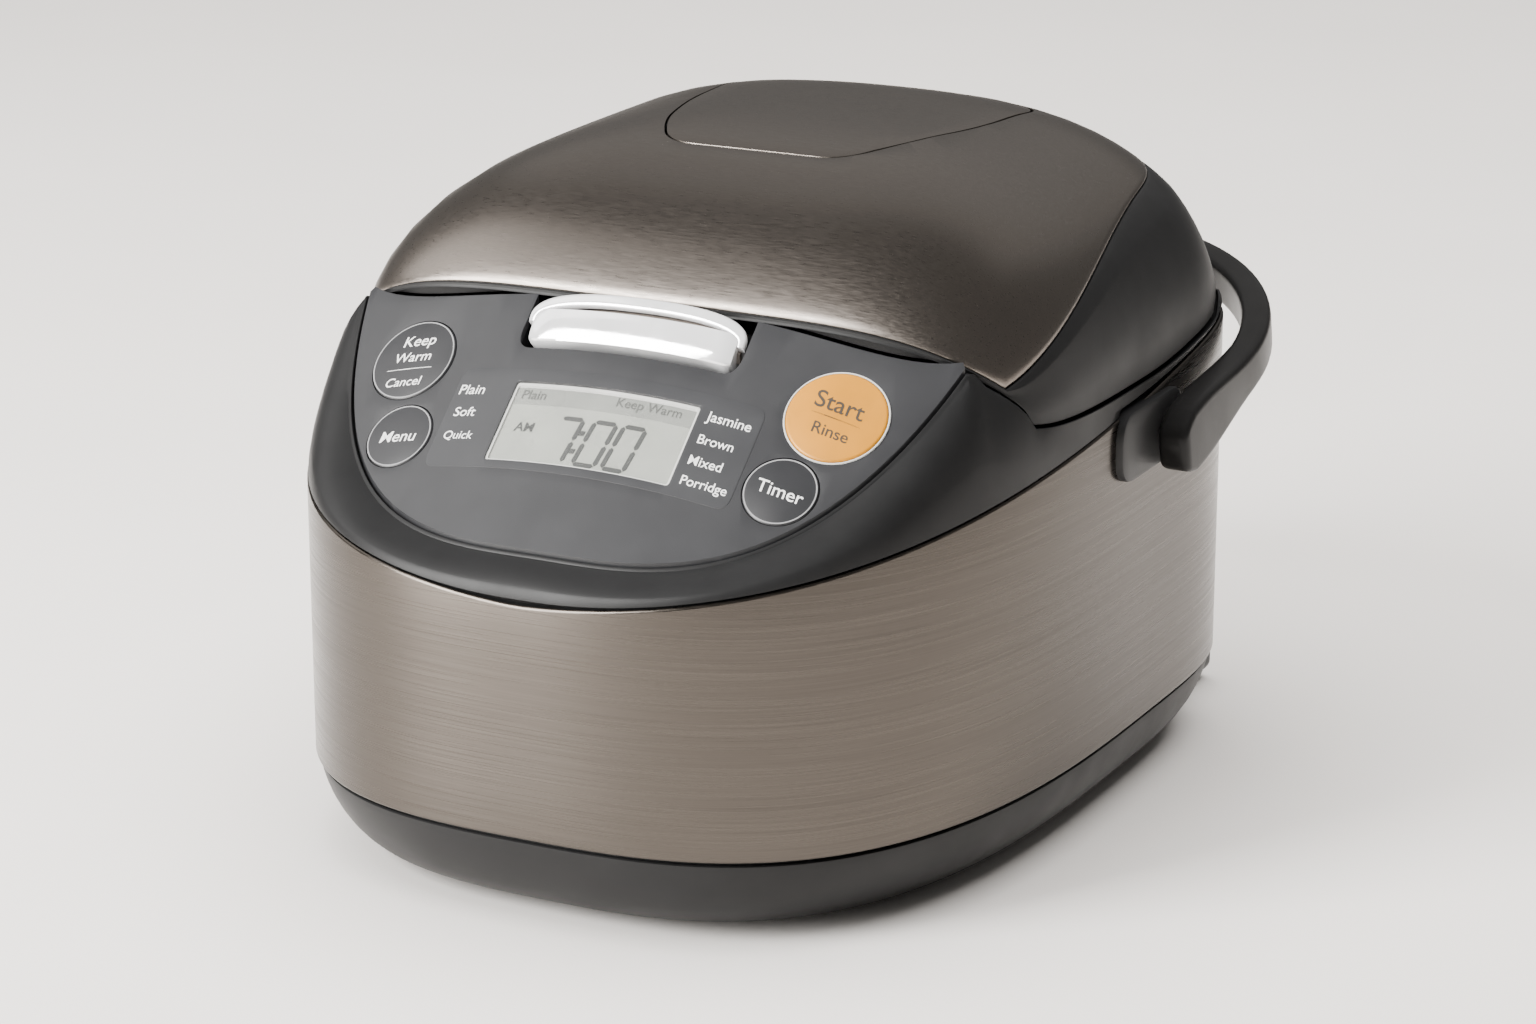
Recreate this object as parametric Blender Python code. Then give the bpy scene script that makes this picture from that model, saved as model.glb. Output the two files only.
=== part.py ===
"""Induction rice cooker: body, sprung controls, hinged lid, swinging handle and the works inside.

Every shape is drawn in millimetres about the body's own centre line: +X to the right, -Y to the
front, +Z up from the surface it stands on. place() moves that line back by BODY_OFFSET_Y, so that
the middle of the whole footprint, handle included, is the part's origin, and turns it to metres.
"""
import math

import bmesh
import bpy
from mathutils import Vector

MM = 0.001
GAP = 0.3

# Body in plan: a superellipse with a long round nose and a boxier back.
BODY_OFFSET_Y = 25.8
BODY_HALF_WIDTH = 135.3
BODY_FRONT = 206.5
BODY_BACK = 122.6
NOSE_POWER = 2.89
BACK_POWER = 3.98
SEGMENTS = 48

# Heights up the body.
BASE_UNDERSIDE = 2.6
BASE_TOP = 30.6
STEEL_BOTTOM = 31.5
STEEL_THICKNESS = 1.0
LEDGE_HEIGHT = 150.5
LINER_FLOOR = 156.0

# Lid dome: a flattened superellipsoid over its own widest line.
DOME_CENTRE_Y = 42.8
DOME_HALF_WIDTH = 134.1
DOME_FRONT = 168.1
DOME_BACK = 78.3
DOME_BASE = 157.5
DOME_RISE = 74.6
DOME_FRONT_POWER = 5.6
DOME_BACK_POWER = 2.53
DOME_PLAN_POWER = 3.08
DOME_RISE_POWER = 2.03
LID_FRONT = 158.3
LID_FRONT_POWER = 6.3
LID_SOFTNESS = 3.0
LID_WALL = 2.6
LID_GAP = 1.4
SKIN_THICKNESS = 0.8
SKIN_SEAT = 2.4

# Sloping control panel, slightly crowned across its width.
PANEL_HALF_WIDTH = 125.0
PANEL_FRONT = 193.0
PANEL_POWER = 2.75
PANEL_REFERENCE_Y = -131.7
PANEL_REFERENCE_Z = 178.2
PANEL_SLOPE = 0.89
PANEL_CROWN_RADIUS = 325.0
PANEL_THICKNESS = 2.4

# Cooking well, pot and lid underside share one upright axis.
WELL_Y = -7.0
WELL_RADIUS = 104.0
POT_RADIUS = 101.0
POT_RIM_RADIUS = 106.5
POT_BOTTOM = 48.0
POT_WALL = 2.0

# Joints.
HINGE_Y = 108.0
HINGE_Z = 185.0
HANDLE_Y = 4.0
HANDLE_Z = 132.5
HANDLE_PITCH = math.radians(12.3)
HANDLE_REACH = 145.5
HANDLE_X = 144.5
HANDLE_CORNER = 92.0


def place(x, y, z):
    """Millimetres about the body's centre line to metres about the part's origin."""
    return Vector((x, y + BODY_OFFSET_Y, z)) * MM


# ---------------------------------------------------------------- outlines and surfaces

def polar_radius(angle, half_width, front, back, front_power, back_power):
    """Distance from the centre to a superellipse whose two halves differ."""
    across, along = math.cos(angle), math.sin(angle)
    depth, power = (front, front_power) if along < 0 else (back, back_power)
    return (abs(across / half_width) ** power + abs(along / depth) ** power) ** (-1 / power)


def turn_angles(count=SEGMENTS):
    return [2 * math.pi * (step + 0.5) / count for step in range(count)]


def body_radius(angle, inset=0.0):
    return polar_radius(angle, BODY_HALF_WIDTH - inset, BODY_FRONT - inset, BODY_BACK - inset,
                        NOSE_POWER, BACK_POWER)


def body_ring(inset, height, count=SEGMENTS):
    """A ring of the body's plan outline; height is a number or a function of y."""
    ring = []
    for angle in turn_angles(count):
        radius = body_radius(angle, inset)
        x, y = radius * math.cos(angle), radius * math.sin(angle)
        ring.append((x, y, height(y) if callable(height) else height))
    return ring


def smooth_step(value, low, high):
    share = min(1.0, max(0.0, (value - low) / (high - low)))
    return share * share * (3 - 2 * share)


def steel_edge(y):
    """Height of the steel wrap's top edge: low round the nose, level beside the lid, high behind."""
    nose = 34.5 * (1 - min(1.0, max(0.0, (y + BODY_FRONT) / 170)) ** 0.52)
    return 146.0 - nose + 12.0 * smooth_step(y, -45, 85)


def lid_seam(y):
    """Height that the lid's lower edge tends to along the sides and round the back."""
    return 152.0 + 11.0 * smooth_step(y, -10, 80)


def panel_height(x, y):
    crown = x * x / (2 * PANEL_CROWN_RADIUS)
    return PANEL_REFERENCE_Z + PANEL_SLOPE * (y - PANEL_REFERENCE_Y - crown)


def panel_normal():
    return Vector((0, -PANEL_SLOPE, 1)).normalized()


def dome_radius(angle):
    return polar_radius(angle, DOME_HALF_WIDTH, DOME_FRONT, DOME_BACK,
                        DOME_FRONT_POWER, DOME_BACK_POWER)


def dome_share_at(height):
    """How far out, from 0 at the crown to 1 at the base, the dome reaches at a height."""
    rise = max(0.0, (height - DOME_BASE) / DOME_RISE)
    return max(0.0, 1 - rise ** DOME_RISE_POWER) ** (1 / DOME_PLAN_POWER)


def dome_height(share):
    return DOME_BASE + DOME_RISE * max(0.0, 1 - share ** DOME_PLAN_POWER) ** (1 / DOME_RISE_POWER)


def dome_point(angle, share, depth=0.0):
    """A point on the dome, or depth inside it along the surface's normal."""
    def surface(turn, out):
        radius = dome_radius(turn) * out
        return Vector((radius * math.cos(turn), DOME_CENTRE_Y + radius * math.sin(turn), dome_height(out)))
    point = surface(angle, share)
    if not depth:
        return tuple(point)
    step = 0.002
    inner, outer = max(share - step, 0.001), min(share + step, 0.9995)
    along = surface(angle, outer) - surface(angle, inner)
    around = surface(angle + step, max(share, 0.02)) - surface(angle - step, max(share, 0.02))
    return tuple(point - around.cross(along).normalized() * -depth)


def lid_edge(angle):
    """Plan share and height of the lid's outer lower edge, by angle about the dome's centre."""
    limit = polar_radius(angle, DOME_HALF_WIDTH + 1, LID_FRONT, DOME_BACK + 20, LID_FRONT_POWER, 2)
    share = limit / dome_radius(angle)
    y = DOME_CENTRE_Y + limit * math.sin(angle)
    front = dome_height(share) if share < 1 else DOME_BASE - 430 * (share - 1)
    side = lid_seam(y)
    height = side + LID_SOFTNESS * math.log1p(math.exp(min(60.0, (front - side) / LID_SOFTNESS)))
    return dome_share_at(height), height


def lid_plan_radius(angle, inset=0.0):
    """Lid edge in plan, by angle about the body's centre line."""
    low, high = 60.0, 260.0
    for _ in range(30):
        middle = (low + high) / 2
        x, y = middle * math.cos(angle), middle * math.sin(angle) - DOME_CENTRE_Y
        turn = math.atan2(y, x)
        edge = dome_radius(turn) * lid_edge(turn)[0] - inset
        if math.hypot(x, y) < edge:
            low = middle
        else:
            high = middle
    return low


def lid_angles():
    """The body's ring angles as seen from the dome's centre, so that lid and collar share facets."""
    angles = []
    for angle in turn_angles():
        radius = lid_plan_radius(angle)
        angles.append(math.atan2(radius * math.sin(angle) - DOME_CENTRE_Y, radius * math.cos(angle)))
    return angles


def lid_edge_height(angle):
    radius = lid_plan_radius(angle)
    turn = math.atan2(radius * math.sin(angle) - DOME_CENTRE_Y, radius * math.cos(angle))
    return lid_edge(turn)[1]


def well_distance(angle, radius):
    """Distance from the centre line to a circle about the cooking well's axis."""
    drop = WELL_Y * math.sin(angle)
    return drop + math.sqrt(drop * drop - WELL_Y * WELL_Y + radius * radius)


# ---------------------------------------------------------------- mesh helpers

def make_material(name, colour, roughness, metallic):
    material = bpy.data.materials.new(name)
    material.use_nodes = True
    shader = material.node_tree.nodes["Principled BSDF"]
    shader.inputs["Base Color"].default_value = (*colour, 1)
    shader.inputs["Roughness"].default_value = roughness
    shader.inputs["Metallic"].default_value = metallic
    return material


def add_object(name, mesh, material, origin=None, smooth=35):
    """Wrap a mesh drawn in part coordinates as an object whose origin sits at the given point."""
    if origin is not None:
        offset = place(*origin)
        for vertex in mesh.vertices:
            vertex.co -= offset
    mesh.materials.clear()
    mesh.materials.append(material)
    mesh.shade_smooth()
    mesh.set_sharp_from_angle(angle=math.radians(smooth))
    node = bpy.data.objects.new(name, mesh)
    if origin is not None:
        node.location = offset
    bpy.context.collection.objects.link(node)
    return node


def finish_bmesh(shape, name):
    bmesh.ops.recalc_face_normals(shape, faces=shape.faces)
    mesh = bpy.data.meshes.new(name)
    shape.to_mesh(mesh)
    shape.free()
    return mesh


def loft_mesh(name, rings, closed=False):
    """Skin a stack of rings; closed joins the last ring to the first, else both ends are capped."""
    shape = bmesh.new()
    loops = [[shape.verts.new(place(*point)) for point in ring] for ring in rings]
    pairs = list(zip(loops, loops[1:]))
    if closed:
        pairs.append((loops[-1], loops[0]))
    else:
        shape.faces.new(loops[0])
        shape.faces.new(loops[-1])
    count = len(rings[0])
    for lower, upper in pairs:
        for step in range(count):
            after = (step + 1) % count
            shape.faces.new((lower[step], lower[after], upper[after], upper[step]))
    return finish_bmesh(shape, name)


def circle(radius, height, x=0.0, y=0.0, count=24):
    return [(x + radius * math.cos(angle), y + radius * math.sin(angle), height)
            for angle in turn_angles(count)]


def turned_mesh(name, profile, x=0.0, y=0.0, count=24, closed=False):
    """Turn a list of (radius, height) about an upright axis."""
    return loft_mesh(name, [circle(radius, height, x, y, count) for radius, height in profile], closed)


def rounded_box(name, centre, size, radius=1.0, steps=2):
    """A box with every edge rounded."""
    shape = bmesh.new()
    bmesh.ops.create_cube(shape, size=1)
    for vertex in shape.verts:
        vertex.co = place(*(centre[axis] + vertex.co[axis] * size[axis] for axis in range(3)))
    if radius:
        bmesh.ops.bevel(shape, geom=shape.edges[:], offset=radius * MM, segments=steps,
                        profile=0.5, affect="EDGES")
    return finish_bmesh(shape, name)


def tilted_disc(name, centre, axis, radius, low, high, rim=0.0, count=24):
    """A disc about a slanted axis, from low to high along it, with an optional rounded rim."""
    axis = Vector(axis).normalized()
    side = Vector((1, 0, 0))
    side = (side - axis * side.dot(axis)).normalized()
    other = axis.cross(side)
    levels = [(radius, low), (radius, high)]
    if rim:
        levels = [(radius, low), (radius, high - rim), (radius - rim, high)]
    rings = []
    for reach, level in levels:
        hub = Vector(centre) + axis * level
        rings.append([tuple(hub + (side * math.cos(angle) + other * math.sin(angle)) * reach)
                      for angle in turn_angles(count)])
    return loft_mesh(name, rings)


def rod_x(name, start, end, y, z, radius, count=16):
    """A round rod along X."""
    return loft_mesh(name, [[(x, y + radius * math.cos(angle), z + radius * math.sin(angle))
                             for angle in turn_angles(count)] for x in (start, end)])


def coil_mesh(name, centre, axis, radius, wire, turns, length, steps=8, sides=6):
    """A round-wire compression spring about an axis, from the centre point onwards."""
    axis = Vector(axis).normalized()
    side = axis.orthogonal().normalized()
    other = axis.cross(side)
    rings = []
    for step in range(turns * steps + 1):
        turn = 2 * math.pi * step / steps
        outward = side * math.cos(turn) + other * math.sin(turn)
        hub = Vector(centre) + outward * radius + axis * (length * step / (turns * steps))
        rings.append([tuple(hub + outward * wire * math.cos(angle) + axis * wire * math.sin(angle))
                      for angle in turn_angles(sides)])
    return loft_mesh(name, rings)


def cutter(name, mesh):
    """A helper solid that only cuts others."""
    node = bpy.data.objects.new(name, mesh)
    node.hide_render = True
    node.display_type = "WIRE"
    bpy.context.collection.objects.link(node)
    return node


def cut(node, *tools, operation="DIFFERENCE"):
    for tool in tools:
        modifier = node.modifiers.new("cut_" + tool.name, "BOOLEAN")
        modifier.operation = operation
        modifier.solver = "EXACT"
        modifier.object = tool


def plan_prism(name, outline, low, high):
    """An upright prism over an outline given as (x, y) points."""
    return loft_mesh(name, [[(x, y, height) for x, y in outline] for height in (low, high)])


def rounded_outline(corners, radius, steps=4):
    """Round the corners of a plan outline given as (x, y) points, counter-clockwise."""
    points = []
    count = len(corners)
    for index in range(count):
        corner = Vector(corners[index])
        before = (Vector(corners[index - 1]) - corner)
        after = (Vector(corners[(index + 1) % count]) - corner)
        reach = min(radius, before.length * 0.45, after.length * 0.45)
        start = corner + before.normalized() * reach
        end = corner + after.normalized() * reach
        for step in range(steps + 1):
            share = step / steps
            points.append(tuple(start * (1 - share) ** 2 + corner * 2 * share * (1 - share)
                                + end * share ** 2))
    return points


# ---------------------------------------------------------------- base and wrap

def bowl_inset(height):
    """How far the base curves in below the steel."""
    share = (STEEL_BOTTOM - height) / (STEEL_BOTTOM - BASE_UNDERSIDE)
    return 1.2 + 22.4 * (1 - math.sqrt(max(0.0, 1 - share ** 1.56)))


def build_base(finish):
    heights = [BASE_TOP - 1.4, 20, 12, 6.5, 3.8, BASE_UNDERSIDE]
    wall = 2.4
    inner = [body_ring(bowl_inset(height) + wall, height + (wall if height == BASE_UNDERSIDE else 0.4))
             for height in reversed(heights[1:])]
    rim = [body_ring(4.8, BASE_TOP - 1.4), body_ring(4.8, BASE_TOP + 6), body_ring(2.9, BASE_TOP + 6),
           body_ring(2.9, BASE_TOP - 0.6), body_ring(1.4, BASE_TOP - 1.4)]
    outer = [body_ring(bowl_inset(height), height) for height in heights[1:]]
    base = add_object("base_cover", loft_mesh("base_cover", inner + rim + outer), finish["charcoal"])
    for slot in range(7):
        y = -150 + slot * 8
        mesh = rounded_box("slot", (0, y, 3), (56, 3.6, 12), 0)
        cut(base, cutter("intake_slot_%d" % (slot + 1), mesh))
    return base


def build_feet(finish):
    spots = {"foot_front_left": (-72, -128), "foot_front_right": (72, -128),
             "foot_rear_left": (-82, 72), "foot_rear_right": (82, 72)}
    profile = [(8.5, 0), (9.5, 0.8), (9.5, BASE_UNDERSIDE - GAP)]
    for name, (x, y) in spots.items():
        add_object(name, turned_mesh(name, profile, x, y, 16), finish["rubber"])


def build_base_screws(finish):
    spots = [(-50, -95), (50, -95), (-55, 60), (55, 60)]
    for number, (x, y) in enumerate(spots, 1):
        name = "base_screw_%d" % number
        profile = [(2.2, 1.2), (3.4, 1.5), (3.4, BASE_UNDERSIDE - GAP)]
        add_object(name, turned_mesh(name, profile, x, y, 12), finish["bright_steel"])


def build_cord_outlet(finish):
    """Low housing behind the base that holds the socket for the supply lead."""
    block = rounded_box("cord_outlet", (84, 118.5, 12), (50, 29, 18), 3.5, 3)
    outlet = add_object("cord_outlet", block, finish["charcoal"])
    clearance = loft_mesh("shell", [body_ring(0.2, 40), body_ring(0.2, 31)]
                          + [body_ring(bowl_inset(height) - 0.4, height) for height in (25, 18, 11.5, 6.5, 3.8)]
                          + [body_ring(bowl_inset(2.6) - 0.4, 1.0)])
    socket = rounded_box("socket", (84, 136, 12), (24, 16, 9), 0)
    cut(outlet, cutter("base_clearance", clearance), cutter("socket_recess", socket))
    contacts = rounded_box("power_inlet", (84, 130.6, 12), (23.2, 4.4, 8.2), 1.0)
    add_object("power_inlet", contacts, finish["dark_plastic"])


def build_wrap(finish):
    edge = steel_edge
    thick = STEEL_THICKNESS
    rings = [body_ring(1.4, STEEL_BOTTOM), body_ring(0.3, STEEL_BOTTOM + 1.6), body_ring(0, STEEL_BOTTOM + 4),
             body_ring(0, lambda y: edge(y) - 1.4), body_ring(0.35, edge)]
    rings += [body_ring(0.35 + thick, edge), body_ring(thick, lambda y: edge(y) - 1.4),
              body_ring(thick, STEEL_BOTTOM + 4), body_ring(1.4 + thick, STEEL_BOTTOM)]
    return add_object("steel_wrap", loft_mesh("steel_wrap", rings, closed=True), finish["steel"])


# ---------------------------------------------------------------- collar

def panel_plan_radius(angle, inset=0.0):
    return polar_radius(angle, PANEL_HALF_WIDTH - inset, PANEL_FRONT - inset, BODY_BACK,
                        PANEL_POWER, PANEL_POWER)


def panel_share(angle):
    """1 where the collar's upper edge borders the control panel, 0 where it borders the lid."""
    return smooth_step(panel_plan_radius(angle) - lid_plan_radius(angle) - LID_GAP, 0.5, 3.5)


def collar_ring(front, side):
    """front and side give (plan radius, height) for an angle, before and beside the lid."""
    ring = []
    for angle in turn_angles():
        share = panel_share(angle)
        radius, height = (share * ahead + (1 - share) * beside for ahead, beside in zip(front(angle), side(angle)))
        ring.append((radius * math.cos(angle), radius * math.sin(angle), height))
    return ring


def panel_point(angle, inset, drop):
    radius = panel_plan_radius(angle, inset)
    return radius, panel_height(radius * math.cos(angle), radius * math.sin(angle)) - drop


def front_wall_point(angle, setback, drop):
    """Point on the upright wall that faces the lid's front, at the panel's surface less a drop."""
    radius = lid_plan_radius(angle) + LID_GAP + setback
    return radius, panel_height(radius * math.cos(angle), radius * math.sin(angle)) - drop


def back_wall_radius(angle):
    """Plan radius of the collar's hidden back, outside its inner wall and inside its skirt."""
    setback = 0.2 + (LID_GAP + 2.4) * panel_share(angle)
    return min(lid_plan_radius(angle) + setback, body_radius(angle, 5.2))


def collar_shoulder(share):
    """Ring part of the way from the steel's edge to the panel's outline and the lid's seam."""
    turn = share * math.radians(62)
    inward = (1 - math.cos(turn)) / (1 - math.cos(math.radians(62)))
    upward = math.sin(turn) / math.sin(math.radians(62))

    def blend(angle, target):
        radius = body_radius(angle, 0.2)
        height = steel_edge(radius * math.sin(angle)) + 2 * GAP
        return radius + (target[0] - radius) * inward, height + (target[1] - height) * upward
    return collar_ring(lambda angle: blend(angle, panel_point(angle, 0, 0)),
                       lambda angle: blend(angle, (lid_plan_radius(angle) + 0.9, lid_edge_height(angle) - 0.5)))


def build_collar(finish):
    """Moulded rim: skirt inside the steel, shoulder, panel recess, lid ledge and well mouth."""
    def side(inset, drop):
        return lambda angle: (lid_plan_radius(angle) - inset, lid_edge_height(angle) - drop)

    def level(radius_function, height):
        return lambda angle: (radius_function(angle), height)

    def well(radius, height):
        return collar_ring(level(lambda angle: well_distance(angle, radius), height),
                           level(lambda angle: well_distance(angle, radius), height))

    def back_top(angle):
        """Top of the collar's back: under the panel, or under the lid's seam where there is room."""
        radius = back_wall_radius(angle)
        ahead = front_wall_point(angle, 0, seat + wall * 2)[1]
        room = smooth_step(radius - lid_plan_radius(angle) + 2.4, 1.0, 2.6)
        beside = floor - wall + room * max(0.0, lid_edge_height(angle) - 6 - floor + wall)
        share = panel_share(angle)
        return radius, share * ahead + (1 - share) * beside + 0.4

    def back_foot(angle):
        """Where the collar's hidden back turns down into the inside of its skirt."""
        radius = body_radius(angle, 4.6)
        return radius, min(steel_edge(radius * math.sin(angle)) - 8, back_top(angle)[1] + 0.3)

    wall = 2.6
    skirt_drop = 12
    seat = PANEL_THICKNESS * 1.35 + 0.5
    floor = LEDGE_HEIGHT
    outer = [body_ring(2.2, lambda y: steel_edge(y) - skirt_drop), body_ring(2.2, lambda y: steel_edge(y) + 0.4),
             collar_shoulder(0), collar_shoulder(0.55), collar_shoulder(1)]
    inner = [collar_ring(lambda angle: panel_point(angle, 0.6, seat), side(1.6, 1.2)),
             collar_ring(lambda angle: front_wall_point(angle, 0, seat), side(2.2, 3.2)),
             collar_ring(level(lambda angle: lid_plan_radius(angle) + LID_GAP, floor),
                         level(lambda angle: lid_plan_radius(angle) - 2.4, floor)),
             well(WELL_RADIUS, floor), well(WELL_RADIUS, floor - 11)]
    back = [well(WELL_RADIUS + wall, floor - 11), well(WELL_RADIUS + wall, floor - wall),
            collar_ring(level(back_wall_radius, floor - wall), level(back_wall_radius, floor - wall)),
            collar_ring(back_top, back_top),
            collar_ring(back_foot, back_foot), body_ring(4.6, lambda y: steel_edge(y) - skirt_drop)]
    collar = add_object("top_collar", loft_mesh("top_collar", outer + inner + back, closed=True),
                        finish["charcoal"])
    return collar


# ---------------------------------------------------------------- control panel

def panel_patch(name, half_width, low_y, high_y, top, bottom, columns=8, rows=4):
    """A crowned sheet that follows the panel's surface between two offsets along its normal."""
    normal = panel_normal()
    rings = []
    for row in range(rows + 1):
        y = low_y + (high_y - low_y) * row / rows
        ring = []
        for offset, order in ((top, 1), (bottom, -1)):
            line = []
            for column in range(columns + 1):
                x = half_width * (2 * column / columns - 1)
                line.append(tuple(Vector((x, y, panel_height(x, y))) + normal * offset))
            ring += line[::order]
        rings.append(ring)
    return loft_mesh(name, rings)


def panel_piece(name, outline, top, bottom, material, columns=8, rows=4):
    """A plate cut to a plan outline, whose faces follow the panel's surface."""
    reach = max(abs(x) for x, y in outline) + 2
    ys = [y for x, y in outline]
    prism = plan_prism(name, outline, 90, 230)
    node = add_object(name, prism, material)
    slab = panel_patch("slab", reach, min(ys) - 14, max(ys) + 14, top, bottom, columns, rows)
    cut(node, cutter(name + "_slab", slab), operation="INTERSECT")
    return node


def panel_spot(x, y, offset=0.0):
    """A point on the panel's surface and the outward direction there."""
    normal = Vector((PANEL_SLOPE * x / PANEL_CROWN_RADIUS, -PANEL_SLOPE, 1)).normalized()
    return Vector((x, y, panel_height(x, y))) + normal * offset, normal


def panel_outline(inset, back_gap):
    """Plan outline of the control panel: the nose's curve, closed by a line along the lid's edge."""
    nose, back = [], []
    steps = 40
    for step in range(steps + 1):
        angle = -math.pi / 2 + (step / steps - 0.5) * math.radians(104)
        front = panel_plan_radius(angle, inset)
        rear = lid_plan_radius(angle) + back_gap
        if front > rear + 2.5:
            nose.append((front * math.cos(angle), front * math.sin(angle)))
            back.append((rear * math.cos(angle), rear * math.sin(angle)))
    return nose + back[::-4]


BUTTONS = {
    "start_button": (79.4, -135.8, 16.8, "gold"),
    "keep_warm_button": (-79.4, -135.8, 16.2, "panel"),
    "menu_button": (-71.1, -159.6, 12.6, "panel"),
    "timer_button": (71.1, -159.6, 12.6, "panel"),
}
WINDOW_X = 34.4
WINDOW_LOW_Y = -167.0
WINDOW_HIGH_Y = -143.5
LATCH_X = 38.0
LATCH_LOW_Y = -131.0
LATCH_POCKET_LOW_Y = -133.0


def rectangle(half_width, low_y, high_y, radius):
    corners = [(-half_width, low_y), (half_width, low_y), (half_width, high_y), (-half_width, high_y)]
    return rounded_outline(corners, radius)


def build_panel(finish, collar):
    panel = panel_piece("control_panel", panel_outline(1.5, LID_GAP + 0.6), 0, -PANEL_THICKNESS,
                        finish["panel"], 10, 6)
    tools = []
    for name, (x, y, radius, slot) in BUTTONS.items():
        centre, normal = panel_spot(x, y)
        hole = tilted_disc("hole", centre, normal, radius + GAP, -6, 6)
        tools.append(cutter(name + "_hole", hole))
        pocket = tilted_disc("pocket", centre, normal, radius + 1.2, -6.5, -1)
        cut(collar, cutter(name + "_pocket", pocket))
        cap = tilted_disc(name, centre, normal, radius, -3.0, 0.35, 0.5)
        add_object(name, cap, finish[slot], tuple(centre))
    window = rectangle(WINDOW_X + GAP, WINDOW_LOW_Y - GAP, WINDOW_HIGH_Y + GAP, 1.5)
    tools.append(cutter("window_hole", plan_prism("hole", window, 100, 220)))
    latch = rectangle(LATCH_X + 3.2, LATCH_POCKET_LOW_Y, -100, 5)
    tools.append(cutter("panel_notch", plan_prism("hole", latch, 100, 230)))
    cut(panel, *tools)
    pane = rectangle(WINDOW_X, WINDOW_LOW_Y, WINDOW_HIGH_Y, 1.3)
    panel_piece("display_window", pane, 0.1, -1.5, finish["window"], 4, 2)
    module = rectangle(WINDOW_X + 3, WINDOW_LOW_Y - 2.5, WINDOW_HIGH_Y + 2.5, 1.0)
    panel_piece("lcd_module", module, -PANEL_THICKNESS - 1.2, -PANEL_THICKNESS - 5.0, finish["lcd"], 4, 2)
    recess = rectangle(WINDOW_X + 3.6, WINDOW_LOW_Y - 3.1, WINDOW_HIGH_Y + 3.1, 1.0)
    cut(collar, cutter("display_opening", plan_prism("hole", recess, 110, 220)))
    board = rectangle(62, -176, -138, 2)
    panel_piece("control_board", board, -14, -15.6, finish["board"], 4, 2)


# ---------------------------------------------------------------- latch

def build_latch(finish, collar):
    """Chrome release key in its pocket, and the hook that it draws back from the lid's catch."""
    pocket = rectangle(LATCH_X + 3.6, LATCH_POCKET_LOW_Y, -100, 5)
    slab = panel_patch("pocket", 60, -150, -90, 12, -13, 4, 4)
    prism = plan_prism("pocket", pocket, 150, 215)
    tool = cutter("latch_pocket", prism)
    cut(tool, cutter("latch_pocket_slab", slab), operation="INTERSECT")
    slot = cutter("hook_slot", rounded_box("slot", (0, -117.5, 168.2), (15, 12, 8.5), 0))
    cut(collar, tool, slot)
    face = rectangle(LATCH_X, LATCH_LOW_Y, LATCH_LOW_Y + 8.0, 3)
    panel_piece("latch_button", face, 1.2, -5.5, finish["chrome"], 6, 2)
    trim = rectangle(LATCH_X + 2.6, LATCH_LOW_Y + 9.2, -117.4, 2)
    panel_piece("latch_trim", trim, 0.8, -10.0, finish["chrome"], 6, 2)
    hook = rounded_box("latch_hook", (0, -123.5, 159.5), (12, 3.0, 21), 0)
    hook = add_object("latch_hook", hook, finish["bright_steel"], (0, -123.5, 152.5))
    nose = rounded_box("nose", (0, -119.0, 168.3), (10, 7.2, 3.2), 0)
    bore = rod_x("bore", -12, 12, -123.5, 152.5, 1.15)
    cut(hook, cutter("hook_nose", nose), operation="UNION")
    cut(hook, cutter("hook_bore", bore))
    add_object("hook_pivot", rod_x("hook_pivot", -11, 11, -123.5, 152.5, 0.85, 12), finish["bright_steel"])
    spring = coil_mesh("latch_spring", (6.8, -123.5, 152.5), (1, 0, 0), 1.9, 0.4, 3, 3.6, 8, 5)
    add_object("latch_spring", spring, finish["bright_steel"])


# ---------------------------------------------------------------- lid

def lid_ring(share_out, depth, cap=None):
    """A ring on the dome; share_out runs from 0 at the crown to 1 at the lid's edge."""
    ring = []
    for angle in lid_angles():
        edge = cap(angle) if cap else lid_edge(angle)[0]
        ring.append(dome_point(angle, edge * share_out, depth))
    return ring


def lid_drop_ring(inset, height):
    """A ring below the dome, set in from the lid's edge in plan."""
    ring = []
    for angle in lid_angles():
        share, edge_height = lid_edge(angle)
        radius = dome_radius(angle) * share - inset
        ring.append((radius * math.cos(angle), DOME_CENTRE_Y + radius * math.sin(angle),
                     height(edge_height) if callable(height) else height))
    return ring


def skin_side_height(y):
    """Height of the steel skin's side edge, climbing from the lid's front corners to the back."""
    reach = max(0.0, (95 - y) / 190)
    return 211.7 - 39.5 * reach ** 1.9


def skin_share(angle):
    share, height = lid_edge(angle)
    y = DOME_CENTRE_Y + dome_radius(angle) * share * math.sin(angle)
    for _ in range(6):
        share = dome_share_at(max(height + 2.1, skin_side_height(y)))
        y = DOME_CENTRE_Y + dome_radius(angle) * share * math.sin(angle)
    return share


CAP_OUTLINE = [(-34, -40), (34, -40), (46, -18), (57, 22), (61, 72), (-61, 72), (-57, 22), (-46, -18)]


def cap_prism(name, inset, low, high):
    outline = [(x * (1 - inset / 50), 16 + (y - 16) * (1 - inset / 55)) for x, y in CAP_OUTLINE]
    return plan_prism(name, rounded_outline(outline, 14), low, high)


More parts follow.
